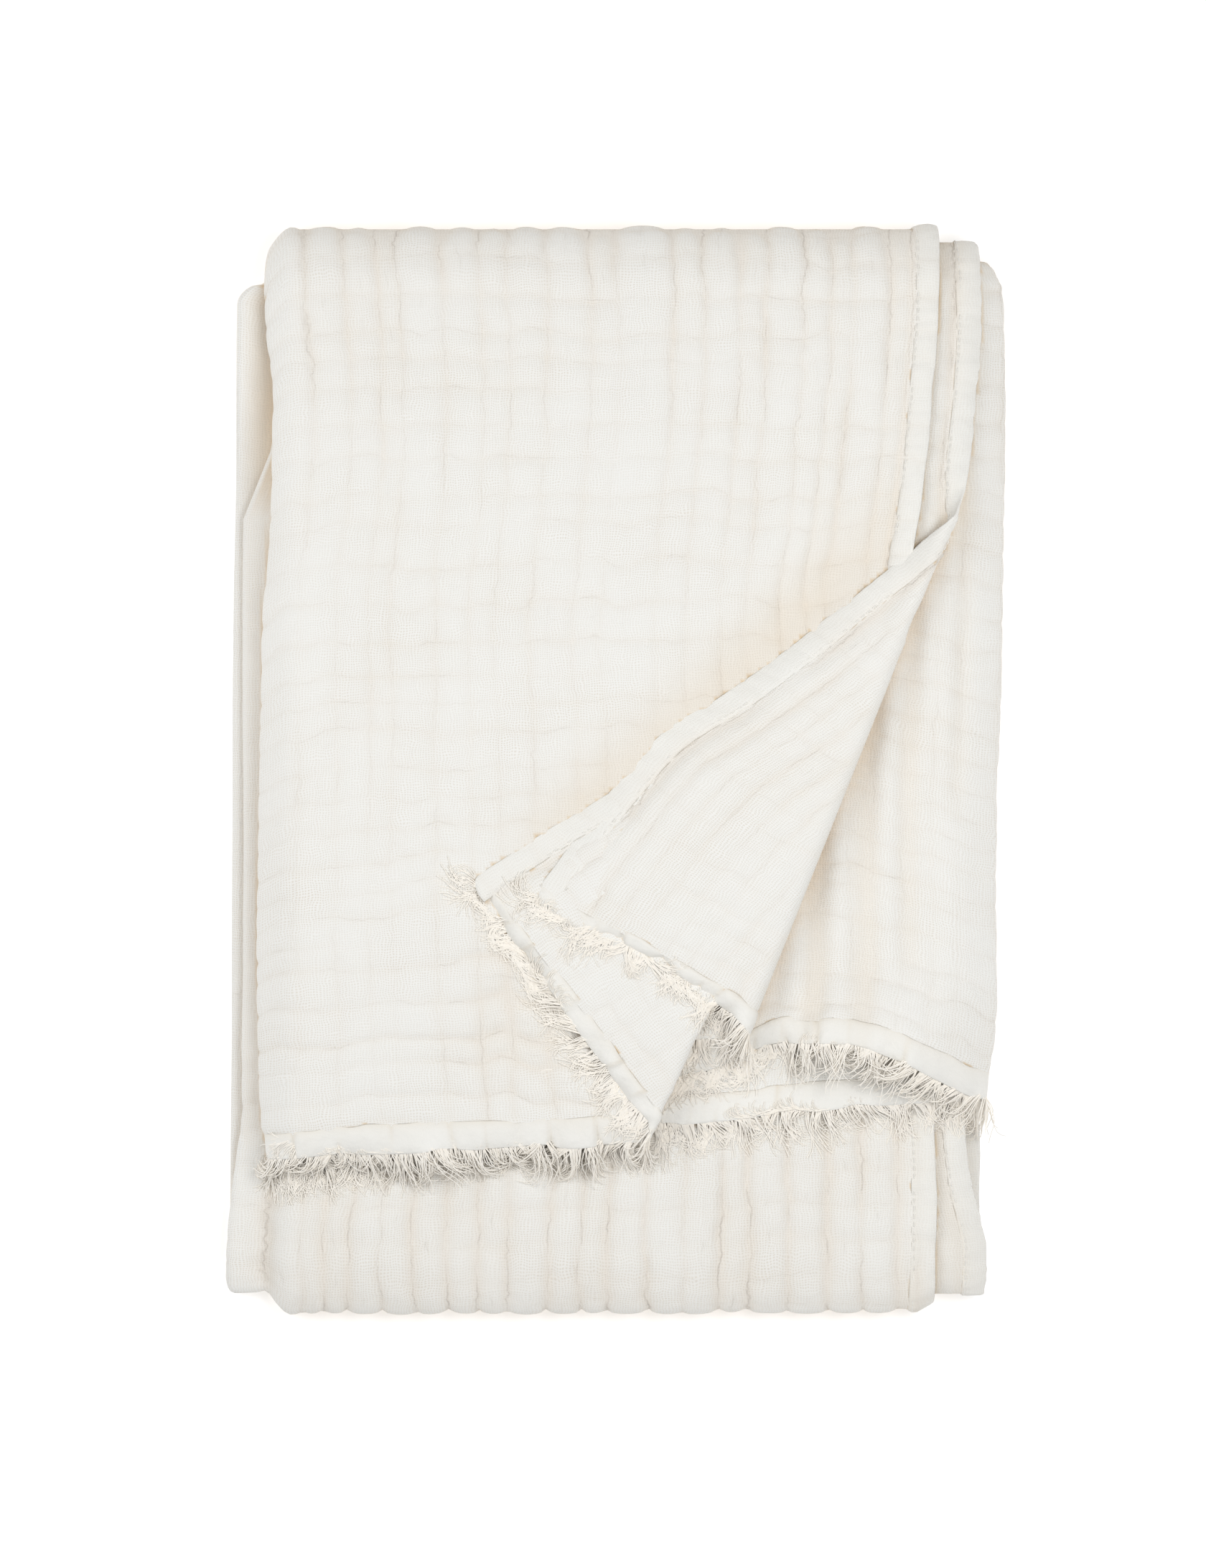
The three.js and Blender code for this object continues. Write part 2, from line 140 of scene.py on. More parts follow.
# The opened cloth, for the weave and the crinkles: how long each stretch is.
ACROSS_LENGTHS = (317, 11, 330, 5, 320, 5, 325)
ALONG_LENGTHS = (385, 70, 434, 62, 416)
CLOTH_WIDTH, CLOTH_LENGTH = sum(ACROSS_LENGTHS), sum(ALONG_LENGTHS)

# ---- What is laid on the cloth ----

HEM = {"width": 11.5, "thickness": 2.0}
BAND = {"width": 13.5, "thickness": 1.5, "sag": 2.5, "tuck": 6, "creased": 1.4, "drawn": 0.8, "shade": 0.3}
# Unevenness of hems and bands: what a row adds to the seed, its reach along the edge, its change over the
# width, and how far it moves the cloth.
HEM_UNEVEN = {"width": (0, 30, 0, 0.12), "wave": (3, 13, 0, 1.1), "pucker": (1, 3.1, 1, 1.1),
              "slow_pucker": (2, 6.5, 0.4, 0.8)}
BAND_UNEVEN = {"slant": (6, 23, 0, 5), "ruffle": (2, 8.5, 0.7, 4.2), "fine_ruffle": (3, 3.6, 1.5, 1.2),
               "wave": (4, 15, 0, 4.0), "inner_wave": (7, 8, 0, 1.6)}

STITCH = {"pitch": 3.6, "length": 2.4, "radius": 0.24, "inset": 1.4, "sides": 6}
STITCH_PLACES, STITCH_GIRTHS = np.array([-1, -0.7, 0, 0.7, 1]), np.array([0.15, 0.8, 1, 0.8, 0.15])
TUFT = {"pitch": 6.6, "length": (15, 23), "strands": 17, "radius": 0.31, "points": 10, "sides": 3,
        "flatness": 0.8, "spread": 0.55, "gathered": 0.45, "rooted": 1.6, "taper": 0.4}
# The strands' angles: which noise, its slow change along the end, and the spread between and within tufts.
LEAN, BEND, CURL_START = (1, 0.8, 0.2, 0.1), (2, 1.4, 0.4, 0.3), (3, 3, 0.8, 0.4)
CURL = {"turns": 1.3, "swing": 0.5, "hook": 0.9}
SPLAY = {"by": 0.9, "over": 15}  # how the fringe's first and last strands lean outwards
HEAD_ROOM = {"flat": 1.5, "turned": 2.4}  # how far above its root a strand may come to lie

# The yarns of the gauze, and the distance over which they wander.
YARN = {"across": 1.31, "along": 1.02, "wander": 3.6, "wander_over": 10, "wiggle": 1.5, "wiggle_over": 4.0}

# The finest crinkles, in the material, and the crisp lines in the valleys: how small the patches of each
# way's lines are, how far each line lies off the middle and how steeply it fades, and the most and colour
# of
# each painted valley shade: the warm shade of the depth, the soft crease shade and the sharp crease shade.
RIPPLE = {"waves": 0.314, "power": 0.4}
RIPPLE_SHAPE = {"Distortion": 5.0, "Detail": 1.0, "Detail Scale": 1.6}
CREASE_WAYS = (("crease_u", "sharp_u", 38), ("crease_v", "sharp_v", 62))
SOFT_LINE, SHARP_LINE, FINER_LINE = (-0.13, 4.0), (-0.13, 17.0), (0.34, 12.0)
CREASE_WOBBLE, PATCH_GAIN = 0.26, 4.0
PAINTED_VALLEY_SHADES = ((0.95, (0.70, 0.49, 0.24)), (0.2, (0.75, 0.66, 0.59)), (0.42, (0.56, 0.50, 0.43)))
# The colour of the weave's holes, and the colour of the painted shade in the bands' creases and along their
# inner edge.
HOLE_TINT, BAND_SHADE_TINT = (0.69, 0.63, 0.53), (0.72, 0.62, 0.47)
BAND_YARN, BAND_TONES = 0.6, ((0.893, 0.886, 0.853), (0.868, 0.856, 0.813))

# Main creases of layer A, in millimetres from hem a: where it goes round the top fold, and on the lower
# panel. Between them, and on the other layers, creases come at an uneven pitch.
TOP_CREASES = (13, 23, 41, 51, 64, 82, 94, 111.5, 126.5, 153.5, 166, 187.5, 205, 218, 236, 257, 267, 283,
               301)
LOWER_CREASES = (8.5, 17, 33.5, 49, 67, 85, 97.5, 114, 131, 148, 160, 175, 193.5, 206, 220, 236, 250.5, 265,
                 277, 287, 303)
LOWER_FROM = 2.7  # the place along the cloth from which the lower panel's creases take over
HEM_B_CREASES = (13, 24, 36, 47.5, 60, 71.5, 85, 98, 110)  # in from hem b
BEYOND_HEM = 9  # a first and a last crease lie this far outside the cloth
LENGTHWISE = {"pitch": 14.5, "spread": 0.6, "width": 4, "least": 0.5, "more": 2, "over": 40, "step": 7.3}
CROSSWISE = {"pitch": 14, "spread": 0.5, "width": 3.4, "least": 0.4, "more": 2.2, "over": 34, "step": 5.7}

# Where creases differ in strength: near places along the cloth and how steeply that fades, near the hems
# over so many millimetres, and on a patch of bubbles, its middle and reach each way. Then by how much.
NEAR_ALONG = {"top": (1.45, 3.2), "bottom": (3.8, 1.2)}
NEAR_HEM = {"hem_a": 26, "hem_b": 60}
BUBBLES = ((195, 42), (52, 40))
LENGTHWISE_STRENGTH = {"everywhere": 0.4, "top": 3.4, "bottom": 1.9, "hem_a": 0.9, "hem_b": 1.1,
                       "bubbles": 1.1}
CROSSWISE_STRENGTH = {"everywhere": 0.55, "bubbles": 1.1, "bottom": -0.2, "hem_b": -0.35}

# Slow and quick wandering. Each row is a seed, its reach both ways, and how far it moves.
LENGTHWISE_WANDER = ((1, 26, 21, 2.6), (2, 9, 8, 2.2))
CROSSWISE_WANDER = ((3, 55, 60, 7), (4, 13, 30, 5.5))
BROAD_SWELLS = ((7, 70, 90, 2.2), (8, 17, 15, 0.8))
BESIDE_HEM = {"free": 0.25, "from": 8, "over": 30}  # the creases wander less beside a hem
RELIEF = {"crown": 1.8, "drawn": 1.2, "broad": 0.6}
VALLEY_SHADE = {"from": 0.35, "over": 2.6, "power": 1.2, "share": 0.16}

# Where the crinkles stand freely. A window has where it opens and how steeply, and where it closes and how
# steeply. Each row is how freely they stand, a window across and one along.
ANYWHERE = (-9, 1, 9, 1)
FREE_WINDOWS = (
    (1, (-9, 1, 1.9, 2), (-9, 1, 4.35, 8)),
    (0.6, (2.8, 5, 4.2, 5), ANYWHERE),
    (1, (3.4, 3, 4.5, 12), (-9, 1, 1.3, 3)),
)
LEFT_MARGIN = (0.6, (1.4, 5, 2.12, 12), (1.9, 8, 9, 1))
BESIDE_HEM_B = ((6.86, 20, 9, 1), (-9, 1, 1.5, 3))
PRESSED, PRESSED_FLAT, LEAST_FREE = (1.85, 8, 3.2, 6), 0.9, 0.04

# Soft troughs beside the turned-back corners, on layer C: how far in from the right fold each is, where it
# starts and ends from the visible end, and its depth and width.
TROUGH_RUN = {"in": 30, "out": 40}
RIGHT_TROUGHS = ((38, 60, 250, 1.7, 5), (58, 0, 210, 2.2, 6), (80, 0, 160, 2.6, 6), (17, 150, 330, 1.2, 5))


# ---- Small helpers ----


def smooth(value):
    t = np.clip(value, 0, 1)
    return t * t * (3 - 2 * t)


def mix(start, end, share):
    return start + (end - start) * share


def unit(vectors):
    return vectors / np.maximum(np.linalg.norm(vectors, axis=-1, keepdims=True), 1e-9)


def as_grids(*values):
    return np.broadcast_arrays(*(np.asarray(value, float) for value in values))


def ramp(rule, value):
    return smooth((value - rule["from"]) / rule["over"])


def amount(rule, value):
    return rule["by"] * ramp(rule, value)


def straight(table, place):
    return np.interp(place, list(table), list(table.values()))


def curve(table, place):
    """A smooth line through a table's rows, which never swings out beyond them."""
    x, y = np.array(list(table), float), np.array(list(table.values()), float)
    rise = np.diff(y) / np.diff(x)
    bend = rise[1:] * rise[:-1]
    level = np.where(bend > 0, 2 * bend / np.where(bend > 0, rise[1:] + rise[:-1], 1), 0)
    slope = np.concatenate([rise[:1], level, rise[-1:]])
    row = np.clip(np.searchsorted(x, place) - 1, 0, len(x) - 2)
    span = x[row + 1] - x[row]
    t = np.clip((place - x[row]) / span, 0, 1)
    start = (1 + 2 * t) * (1 - t) ** 2 * y[row] + t * (1 - t) ** 2 * span * slope[row]
    end = t * t * (3 - 2 * t) * y[row + 1] + t * t * (t - 1) * span * slope[row + 1]
    return start + end


def edge(name, along):
    column = EDGE_COLUMNS.index(name)
    return curve({place: row[column] for place, row in EDGES.items()}, along)


def noise(seed, x, y):
    """Smooth random values from 0 to 1, one for each whole step of x and y, the same on every run."""
    cells = np.random.default_rng(seed).random((64, 64))
    x, y = as_grids(x, y)
    column, row = np.floor(x).astype(int), np.floor(y).astype(int)
    s, t = smooth(x - column), smooth(y - row)
    corner = lambda i, j: cells[(column + i) % 64, (row + j) % 64]
    return mix(mix(corner(0, 0), corner(1, 0), s), mix(corner(0, 1), corner(1, 1), s), t)


def swing(seed, x, y):
    """The same noise, from -0.5 to 0.5."""
    return noise(seed, x, y) - 0.5


# ---- The folded shape ----


def section(across, along):
    """The four-layer section: stretch, x, and height in layers above layer D."""
    stretch = np.clip(np.floor(across), 0, 6).astype(int)
    share = across - stretch
    turn = np.pi * (share - 0.5)
    outer = edge("outer", along) + OUTER_FOLD_REACH
    inner = edge("inner", along) + INNER_FOLD_REACH
    right = edge("right", along) - RIGHT_FOLD_REACH
    level = np.ones_like(share)
    x = np.choose(stretch, [
        mix(edge("hem_a", along), outer, share),
        outer - OUTER_FOLD_REACH * np.cos(turn),
        mix(outer, right, share),
        right + RIGHT_FOLD_REACH * np.cos(turn),
        mix(right, inner, share),
        inner - INNER_FOLD_REACH * np.cos(turn),
        mix(inner, edge("hem_b", along), share),
    ])
    height = np.choose(stretch, [
        3 * level, 1.5 - 1.5 * np.sin(turn), 0 * level, 0.5 + 0.5 * np.sin(turn), level,
        1.5 + 0.5 * np.sin(turn), 2 * level,
    ])
    return stretch, x, height


def layout(across, along):
    """Place of the layers before corners are turned back: stretch, x, y, height in layers."""
    stretch, x, level = section(across, along)
    visible_end = curve(VISIBLE_END, across)
    hidden_end = INNER_END - amount(INNER_END_DRAW_BACK, x)
    turned_out = TOP_DRAW_BACK["turned_out"] * smooth((along - TOP_DRAW_BACK["from_along"]) * 2)
    top_start = TOP_FOLD["start"] - amount(TOP_DRAW_BACK, x) * (1 - turned_out)
    top_reach = TOP_FOLD["reach"] + TOP_FOLD["per_layer"] * level
    bottom_reach = (BOTTOM_FOLD["reach"] + BOTTOM_FOLD["per_layer"] * level
                    - amount(BOTTOM_DRAW_BACK, x) * level / 3
                    - amount(HEM_A_DRAW_BACK, x) * smooth(level - 2))
    top_turn, bottom_turn = np.pi * (1.5 - along), np.pi * (along - 3.5)
    top_middle = (TOP_PANEL[0] + BOTTOM_PANEL[0]) / 2
    bottom_middle = (BOTTOM_PANEL[0] + INNER_PANEL[0]) / 2
    bottom_start = BOTTOM_FOLD["start"]
    part = np.clip(np.floor(along), 0, 4).astype(int)
    to_visible, to_hidden = mix(visible_end, top_start, along), mix(bottom_start, hidden_end, along - 4)
    y = np.choose(part, [
        np.where(along < 0, visible_end + along * FRINGE_UNIT, to_visible),
        top_start + top_reach * np.cos(top_turn),
        mix(top_start, bottom_start, along - 2),
        bottom_start - bottom_reach * np.cos(bottom_turn),
        np.where(along > 5, hidden_end + (along - 5) * FRINGE_UNIT, to_hidden),
    ])
    height = np.choose(part, [
        TOP_PANEL[0] + level,
        top_middle + (TOP_PANEL[0] - top_middle + level) * np.sin(top_turn),
        BOTTOM_PANEL[0] - level,
        bottom_middle + (INNER_PANEL[0] - bottom_middle + level) * np.sin(bottom_turn),
        INNER_PANEL[0] + level,
    ])
    raised = (along < 1) & ((stretch == 3) | (stretch == 4))
    height = height + np.where(raised, hollow(level, x, y), 0)
    return stretch, x, y, height - np.where(along < 1, level / 3 * beside_hem(x, y), 0)


def beyond_roll(corner, x, y):
    """Distance right of a corner's roll, measured square to its line from where the roll begins."""
    foot_x, foot_y = corner["foot"]
    return (x - foot_x - corner["lean"] * (y - foot_y)) / math.hypot(1, corner["lean"]) + corner["radius"]


def hollow(level, x, y):
    lift = HOLLOW["height"] * ramp(HOLLOW["roll"], beyond_roll(CORNER_B, x, y) - CORNER_B["radius"])
    lift = lift * ramp(HOLLOW["right"], x) * ramp(HOLLOW["top"], y)
    return level * lift / LAYER_PITCH


def beside_hem(x, y):
    """How far the top layers sag here, in layers."""
    through_x, through_y = SAG_LINE["through"]
    off = (y - through_y - SAG_LINE["rise"] * (x - through_x)) / math.hypot(1, SAG_LINE["rise"])
    ends = ramp(SAG_LINE["right"], x) * ramp(SAG_LINE["left"], x)
    across_line = np.exp(-((off - SAG_LINE["beyond"]) / SAG_LINE["width"]) ** 2)
    return SAG_LINE["depth"] / LAYER_PITCH * ends * across_line


def settle(from_hem, turned, x, y, height, below):
    """Lets a turned-back corner's hem down on to the layer below it."""
    share = smooth(1 - from_hem / SETTLED["over"]) * turned
    rest = TOP_PANEL[0] + below + SETTLED["above"] * smooth(from_hem / SETTLED["edge"]) - beside_hem(x, y)
    return mix(height, np.minimum(rest, height), share)


def turn_back(corner, turned, x, y, height):
    """Rolls what lies beyond a corner's line over and lays it back on top."""
    beyond = np.where(turned, np.maximum(beyond_roll(corner, x, y), 0), 0)
    length, radius = math.hypot(1, corner["lean"]), corner["radius"]
    angle = np.minimum(np.pi, beyond / radius)
    shift = radius * np.sin(angle) - np.maximum(0, beyond - np.pi * radius) - beyond
    rise = radius * (1 - np.cos(angle)) / LAYER_PITCH
    return x + shift / length, y - shift * corner["lean"] / length, height + rise


def turned_over(corner, on_layer, x, y, along):
    """0 before a corner's roll and 1 once the cloth has turned right over."""
    return ramp(TURNED, beyond_roll(corner, x, y) / corner["radius"]) * on_layer * (along < 1)


def corners_over(stretch, x, y, along):
    """turned_over for the corner of layer A and for that of layer B."""
    return (turned_over(CORNER_A, stretch == 0, x, y, along),
            turned_over(CORNER_B, stretch == 6, x, y, along))


def cloth_point(across, along):
    """The middle of the cloth, in millimetres."""
    across, along = as_grids(across, along)
    stretch, x, y, height = layout(across, along)
    over_a, over_b = corners_over(stretch, x, y, along)
    x, y, height = turn_back(CORNER_A, (stretch == 0) & (along < 1), x, y, height)
    x, y, height = turn_back(CORNER_B, (stretch == 6) & (along < 1), x, y, height)
    height = settle(across * ACROSS_LENGTHS[0], over_a, x, y, height, 3)
    below = 3 + amount(SETTLED["crossing"], x)
    height = settle((7 - across) * ACROSS_LENGTHS[6], over_b, x, y, height, below)
    bottom_top = BOTTOM_PANEL[0]
    on_bottom = np.clip(height, 0, bottom_top) / bottom_top * (height <= bottom_top)
    sunk = straight(LEFT_SINK, height) + sum(amount(rule, y) for rule in LEFT_RISE) * on_bottom
    left = (sunk - height) * ramp(LEFT_EDGE, x)
    right = (straight(RIGHT_SINK, height) - height) * ramp(RIGHT_EDGE, x)
    return np.stack([x, y, HALF_THICKNESS + LAYER_PITCH * (height + left + right)], axis=-1)


def cloth_normal(across, along, step=1e-3):
    over_across = cloth_point(across + step, along) - cloth_point(across - step, along)
    over_along = cloth_point(across, along + step) - cloth_point(across, along - step)
    return unit(np.cross(over_across, over_along))


def opened(lengths, place):
    """Millimetres over the opened cloth."""
    starts = np.concatenate([[0], np.cumsum(lengths)])
    return np.interp(place, np.arange(len(starts)), starts)


def folded(lengths, distance):
    """The place on the folded cloth of millimetres over the opened one."""
    starts = np.concatenate([[0], np.cumsum(lengths)])
    return np.interp(distance, starts, np.arange(len(starts)))


def on_opened(across, along):
    return opened(ACROSS_LENGTHS, across), opened(ALONG_LENGTHS, along)


def from_edge(distance, total):
    return np.minimum(distance, total - distance)


# ---- Crinkles ----


def valley_lines(seed, length, pitch, spread):
    """Places of valleys over a length, unevenly spaced about a pitch."""
    steps = pitch * (1 + spread * (np.random.default_rng(seed).random(int(length / pitch) + 9) - 0.5))
    return np.cumsum(steps) - 4 * pitch


ROUND_VALLEY = lambda distance: (1 + distance ** 2) ** 1.5
SHARP_CREASE = lambda distance: (1 + distance) ** 1.7  # as where gauze folds on itself


def valleys(lines, place, depth, width, profile):
    """How far the valleys on either side of a place draw the cloth down."""
    before = np.clip(np.searchsorted(lines, place) - 1, 0, len(lines) - 2)
    drawn = 0
    for line in (before, before + 1):
        drawn = drawn + depth(line) / profile(np.abs(place - lines[line]) / width)
    return drawn


def lengthwise_lines(by_hand):
    """The lengthwise creases: listed on layer A and beside hem b, and uneven between them."""
    start, length = ACROSS_LENGTHS[0], CLOTH_WIDTH - (HEM_B_CREASES[-1] + 8) - ACROSS_LENGTHS[0]
    between = valley_lines(11, length, LENGTHWISE["pitch"], LENGTHWISE["spread"])
    between = between[(between > 6) & (between < length)] + start
    beside_b = CLOTH_WIDTH - np.array(HEM_B_CREASES[::-1])
    return np.concatenate([[-BEYOND_HEM], by_hand, between, beside_b, [CLOTH_WIDTH + BEYOND_HEM]])


def wandering(table, u, v):
    """The sum of a table's rows of noise."""
    return sum(by * swing(seed, u / over_u, v / over_v) for seed, over_u, over_v, by in table)


def crinkles(across, along, by_hand):
    """For each way, its crease lines, the place measured across them, and their depths."""
    u, v = on_opened(across, along)
    free = mix(BESIDE_HEM["free"], 1, ramp(BESIDE_HEM, from_edge(u, CLOTH_WIDTH)))
    near = {name: np.exp(-np.abs(along - place) * steep) for name, (place, steep) in NEAR_ALONG.items()}
    near["everywhere"] = 1.0
    near["hem_a"] = np.exp(-u / NEAR_HEM["hem_a"])
    near["hem_b"] = np.exp(-(CLOTH_WIDTH - u) / NEAR_HEM["hem_b"])
    off_u, off_v = (((place - middle) / reach) ** 2 for place, (middle, reach) in zip((u, v), BUBBLES))
    near["bubbles"] = np.exp(-off_u - off_v)
    strong_u, strong_v = (sum(by * near[place] for place, by in table.items())
                          for table in (LENGTHWISE_STRENGTH, CROSSWISE_STRENGTH))
    way_u, way_v = LENGTHWISE, CROSSWISE
    noise_u = lambda line: noise(5, line * way_u["step"], v / way_u["over"])
    noise_v = lambda line: noise(6, u / way_v["over"], line * way_v["step"])
    deep_u = lambda line: (way_u["least"] + way_u["more"] * noise_u(line)) * strong_u
    deep_v = lambda line: (way_v["least"] + way_v["more"] * noise_v(line)) * strong_v
    crosswise = valley_lines(12, CLOTH_LENGTH, CROSSWISE["pitch"], CROSSWISE["spread"])
    at_u, at_v = u + free * wandering(LENGTHWISE_WANDER, u, v), v + wandering(CROSSWISE_WANDER, u, v)
    return (lengthwise_lines(by_hand), at_u, deep_u), (crosswise, at_v, deep_v)


def relief_of_panel(across, along, by_hand):
    """Height of the crinkles in millimetres, and how deep a place lies in a valley, from 0 to 1."""
    u, v = on_opened(across, along)
    lengthwise, crosswise = crinkles(across, along, by_hand)
    drawn = (valleys(*lengthwise, LENGTHWISE["width"], SHARP_CREASE)
             + valleys(*crosswise, CROSSWISE["width"], SHARP_CREASE))
    from_right = u - sum(ACROSS_LENGTHS[:4])
    run_in, run_out = TROUGH_RUN["in"], TROUGH_RUN["out"]
    for middle, start, end, depth, width in RIGHT_TROUGHS:
        ends = smooth((v - start + run_in) / run_in) * smooth((end - v) / run_out)
        drawn = drawn + depth * ends * np.exp(-((from_right - middle) / width) ** 2)
    height = RELIEF["crown"] - RELIEF["drawn"] * drawn + wandering(BROAD_SWELLS, u, v) * RELIEF["broad"]
    shade = np.clip((drawn - VALLEY_SHADE["from"]) / VALLEY_SHADE["over"], 0, 1) ** VALLEY_SHADE["power"]
    return height, shade


def marks_of_panel(across, along, by_hand):
    """For each way, how many creases a place is from the first, and the depth of the nearest."""
    marks = []
    for lines, at, deep in crinkles(across, along, by_hand):
        number = np.interp(at, lines, np.arange(len(lines)))
        marks += [number, deep(np.round(number).astype(int))]
    return marks


def by_panel(work, across, along):
    """Works with the top panel's creases and with the lower panel's, and takes each where it holds."""
    across, along = as_grids(across, along)
    top, lower = (work(across, along, by_hand) for by_hand in (TOP_CREASES, LOWER_CREASES))
    return [np.where(along < LOWER_FROM, *values) for values in zip(top, lower)]


def crease_marks(across, along):
    """The same marks under their names for the material, with the depths from 0 to about 1."""
    held = showing(across, along) * in_from_edges(across, along) / 4
    number_u, depth_u, number_v, depth_v = by_panel(marks_of_panel, across, along)
    return {"crease_u": number_u, "sharp_u": depth_u * held,
            "crease_v": number_v, "sharp_v": depth_v * held}


def window(place, opens, rise, closes, fall):
    return smooth((place - opens) * rise) * smooth((closes - place) * fall)


def showing(across, along):
    """How freely the crinkles stand, from the pressed layers inside the stack to the ones that show."""
    through = lambda share, over_across, over_along: (
        share * window(across, *over_across) * window(along, *over_along))
    turned = np.where(across > 6, (facing(across, along) + 1) / 2, 0)
    shown = np.maximum(turned, window(across, *BESIDE_HEM_B[0])) * window(along, *BESIDE_HEM_B[1])
    for row in FREE_WINDOWS:
        shown = np.maximum(shown, through(*row))
    held = shown * (1 - PRESSED_FLAT * window(along, *PRESSED))
    return mix(LEAST_FREE, 1, np.maximum(held, through(*LEFT_MARGIN)))


def facing(across, along):
    """1 where the cloth's front is seen, -1 where its back is, and between them where it rolls over."""
    stretch, x, y, height = layout(across, along)
    over_a, over_b = corners_over(stretch, x, y, along)
    on_stretches = [stretch == 0, stretch == 5, stretch == 6]
    return np.select(on_stretches, [1 - 2 * over_a, 11 - 2 * across, 2 * over_b - 1], 1.0)


def in_from_edges(across, along):
    """1 on the open gauze, and less where a hem or an end band holds it flatter."""
    u, v = on_opened(across, along)
    from_hem = from_edge(u, CLOTH_WIDTH) - HEM["width"]
    from_end = from_edge(v, CLOTH_LENGTH) - BAND["width"]
    return (0.65 + 0.35 * smooth(0.4 + from_hem / 5)) * (0.3 + 0.7 * smooth(0.4 + from_end / 5))


DEEPEST = {"turned": -0.6, "elsewhere": -1.7}  # so that no valley reaches the layer below


def crinkled_point(across, along, lift=0.0):
    """A place on the crinkled cloth, and how deep in a valley it lies. lift raises it off the cloth."""
    height, depth = by_panel(relief_of_panel, across, along)
    side = facing(across, along)
    corner = ((across < 1) & (side < 1)) | ((across > 6) & (side > -1))
    height = np.maximum(height, np.where(corner, DEEPEST["turned"], DEEPEST["elsewhere"]))
    rise = side * height * showing(across, along) * in_from_edges(across, along) + lift
    points = cloth_point(across, along) - cloth_normal(across, along) * rise[..., None]
    points[..., 2] = np.maximum(points[..., 2], HALF_THICKNESS / 2)
    return points, depth


# ---- Meshes ----


def put(name, data):
    """A new object in the scene."""
    made = bpy.data.objects.new(name, data)
    bpy.context.scene.collection.objects.link(made)
    return made


def make_mesh(name, points, faces, uv=None, shades={}, rounded=True):
    """A mesh from points and uv in millimetres. shades are named values for each point."""
    mesh = bpy.data.meshes.new(name)
    mesh.from_pydata((points.reshape(-1, 3) * MM).tolist(), [], faces)
    if uv is not None:
        layer = mesh.uv_layers.new(name="cloth")
        corners = np.empty(len(mesh.loops), dtype=np.int32)
        mesh.loops.foreach_get("vertex_index", corners)
        layer.data.foreach_set("uv", (uv.reshape(-1, 2)[corners] * MM).astype(np.float32).ravel())
    for shade, values in shades.items():
        attribute = mesh.attributes.new(shade, "FLOAT", "POINT")
        attribute.data.foreach_set("value", np.ravel(values).astype(np.float32))
    mesh.polygons.foreach_set("use_smooth", np.full(len(mesh.polygons), rounded))
    mesh.validate()
    return put(name, mesh)


def grid_faces(rows, columns, closed=False):
    """Quads of a grid of points, row by row. closed joins the last column to the first."""
    index = np.arange(rows * columns).reshape(rows, columns)
    if closed:
        index = np.concatenate([index, index[:, :1]], axis=1)
    corners = [index[:-1, :-1], index[:-1, 1:], index[1:, 1:], index[1:, :-1]]
    return np.stack(corners, axis=-1).reshape(-1, 4)


def laid_on_cloth(name, across, along, points, faces, depth):
    """A mesh that carries the cloth's coordinates and crease marks."""
    uv = np.stack(on_opened(across, along), axis=-1)
    return make_mesh(name, points, faces, uv, {**crease_marks(across, along), "depth": depth})


def tube_faces(count, steps, sides):
    """The faces of tubes that are closed at both ends, one tube after another."""
    offsets = np.arange(count) * steps * sides
    faces = (grid_faces(steps, sides, closed=True) + offsets[:, None, None]).reshape(-1, 4).tolist()
    for start in offsets.tolist():
        last = start + (steps - 1) * sides
        faces += [list(range(start, start + sides))[::-1], list(range(last, last + sides))]
    return faces


def make_tubes(name, paths, first, second, sides, radii, rounded):
    """Tubes along paths, one mesh. first and second point out from each path."""
    turn = 2 * np.pi * np.arange(sides) / sides
    ring = first[:, :, None] * np.cos(turn)[:, None] + second[:, :, None] * np.sin(turn)[:, None]
    points = paths[:, :, None] + ring * radii[:, None, None]
    return make_mesh(name, points, tube_faces(*paths.shape[:2], sides), rounded=rounded)


def places(*spans):
    """Places in order from (start, end, steps) spans that follow each other."""
    runs = [np.linspace(start, end, steps, endpoint=False) for start, end, steps in spans]
    return np.concatenate([*runs, [spans[-1][1]]])


ACROSS_PLACES = places(
    (0.03, 0.46, 90), (0.46, 1, 74), (1, 2, 10), (2, 2.25, 4), (2.25, 3, 24), (3, 4, 8), (4, 4.42, 58),
    (4.42, 5, 9), (5, 6, 6), (6, 6.5, 6), (6.5, 6.971, 70))
ALONG_PLACES = places(
    (0.031, 0.16, 36), (0.16, 1, 130), (1, 2, 28), (2, 2.03, 6), (2.03, 2.1, 2), (2.1, 3, 8), (3, 4, 22),
    (4, 4.24, 34), (4.24, 4.971, 10))
ACROSS_PLACES_FINE = places(
    (0, 1, 270), (1, 2, 12), (2, 3, 200), (3, 4, 8), (4, 5, 200), (5, 6, 8), (6, 7, 270))
ALONG_PLACES_FINE = places((0, 1, 260), (1, 2, 40), (2, 3, 30), (3, 4, 30), (4, 4.3, 60), (4.3, 5, 30))


def make_cloth():
    along, across = np.meshgrid(ALONG_PLACES, ACROSS_PLACES, indexing="ij")
    points, depth = crinkled_point(across, along)
    on_layer_a = (across < 1) & (along < 1) & (facing(across, along) > 0)
    # Painted shade: the valleys' depth, and a painted shadow on layer A beside the sag line.
    shadow = beside_hem(points[..., 0], points[..., 1]) * LAYER_PITCH / SAG_LINE["depth"] * on_layer_a
    depth = VALLEY_SHADE["share"] * depth + SAG_LINE["painted_shadow"] * shadow
    return laid_on_cloth("muslin_cloth", across, along, points, grid_faces(*across.shape).tolist(), depth)


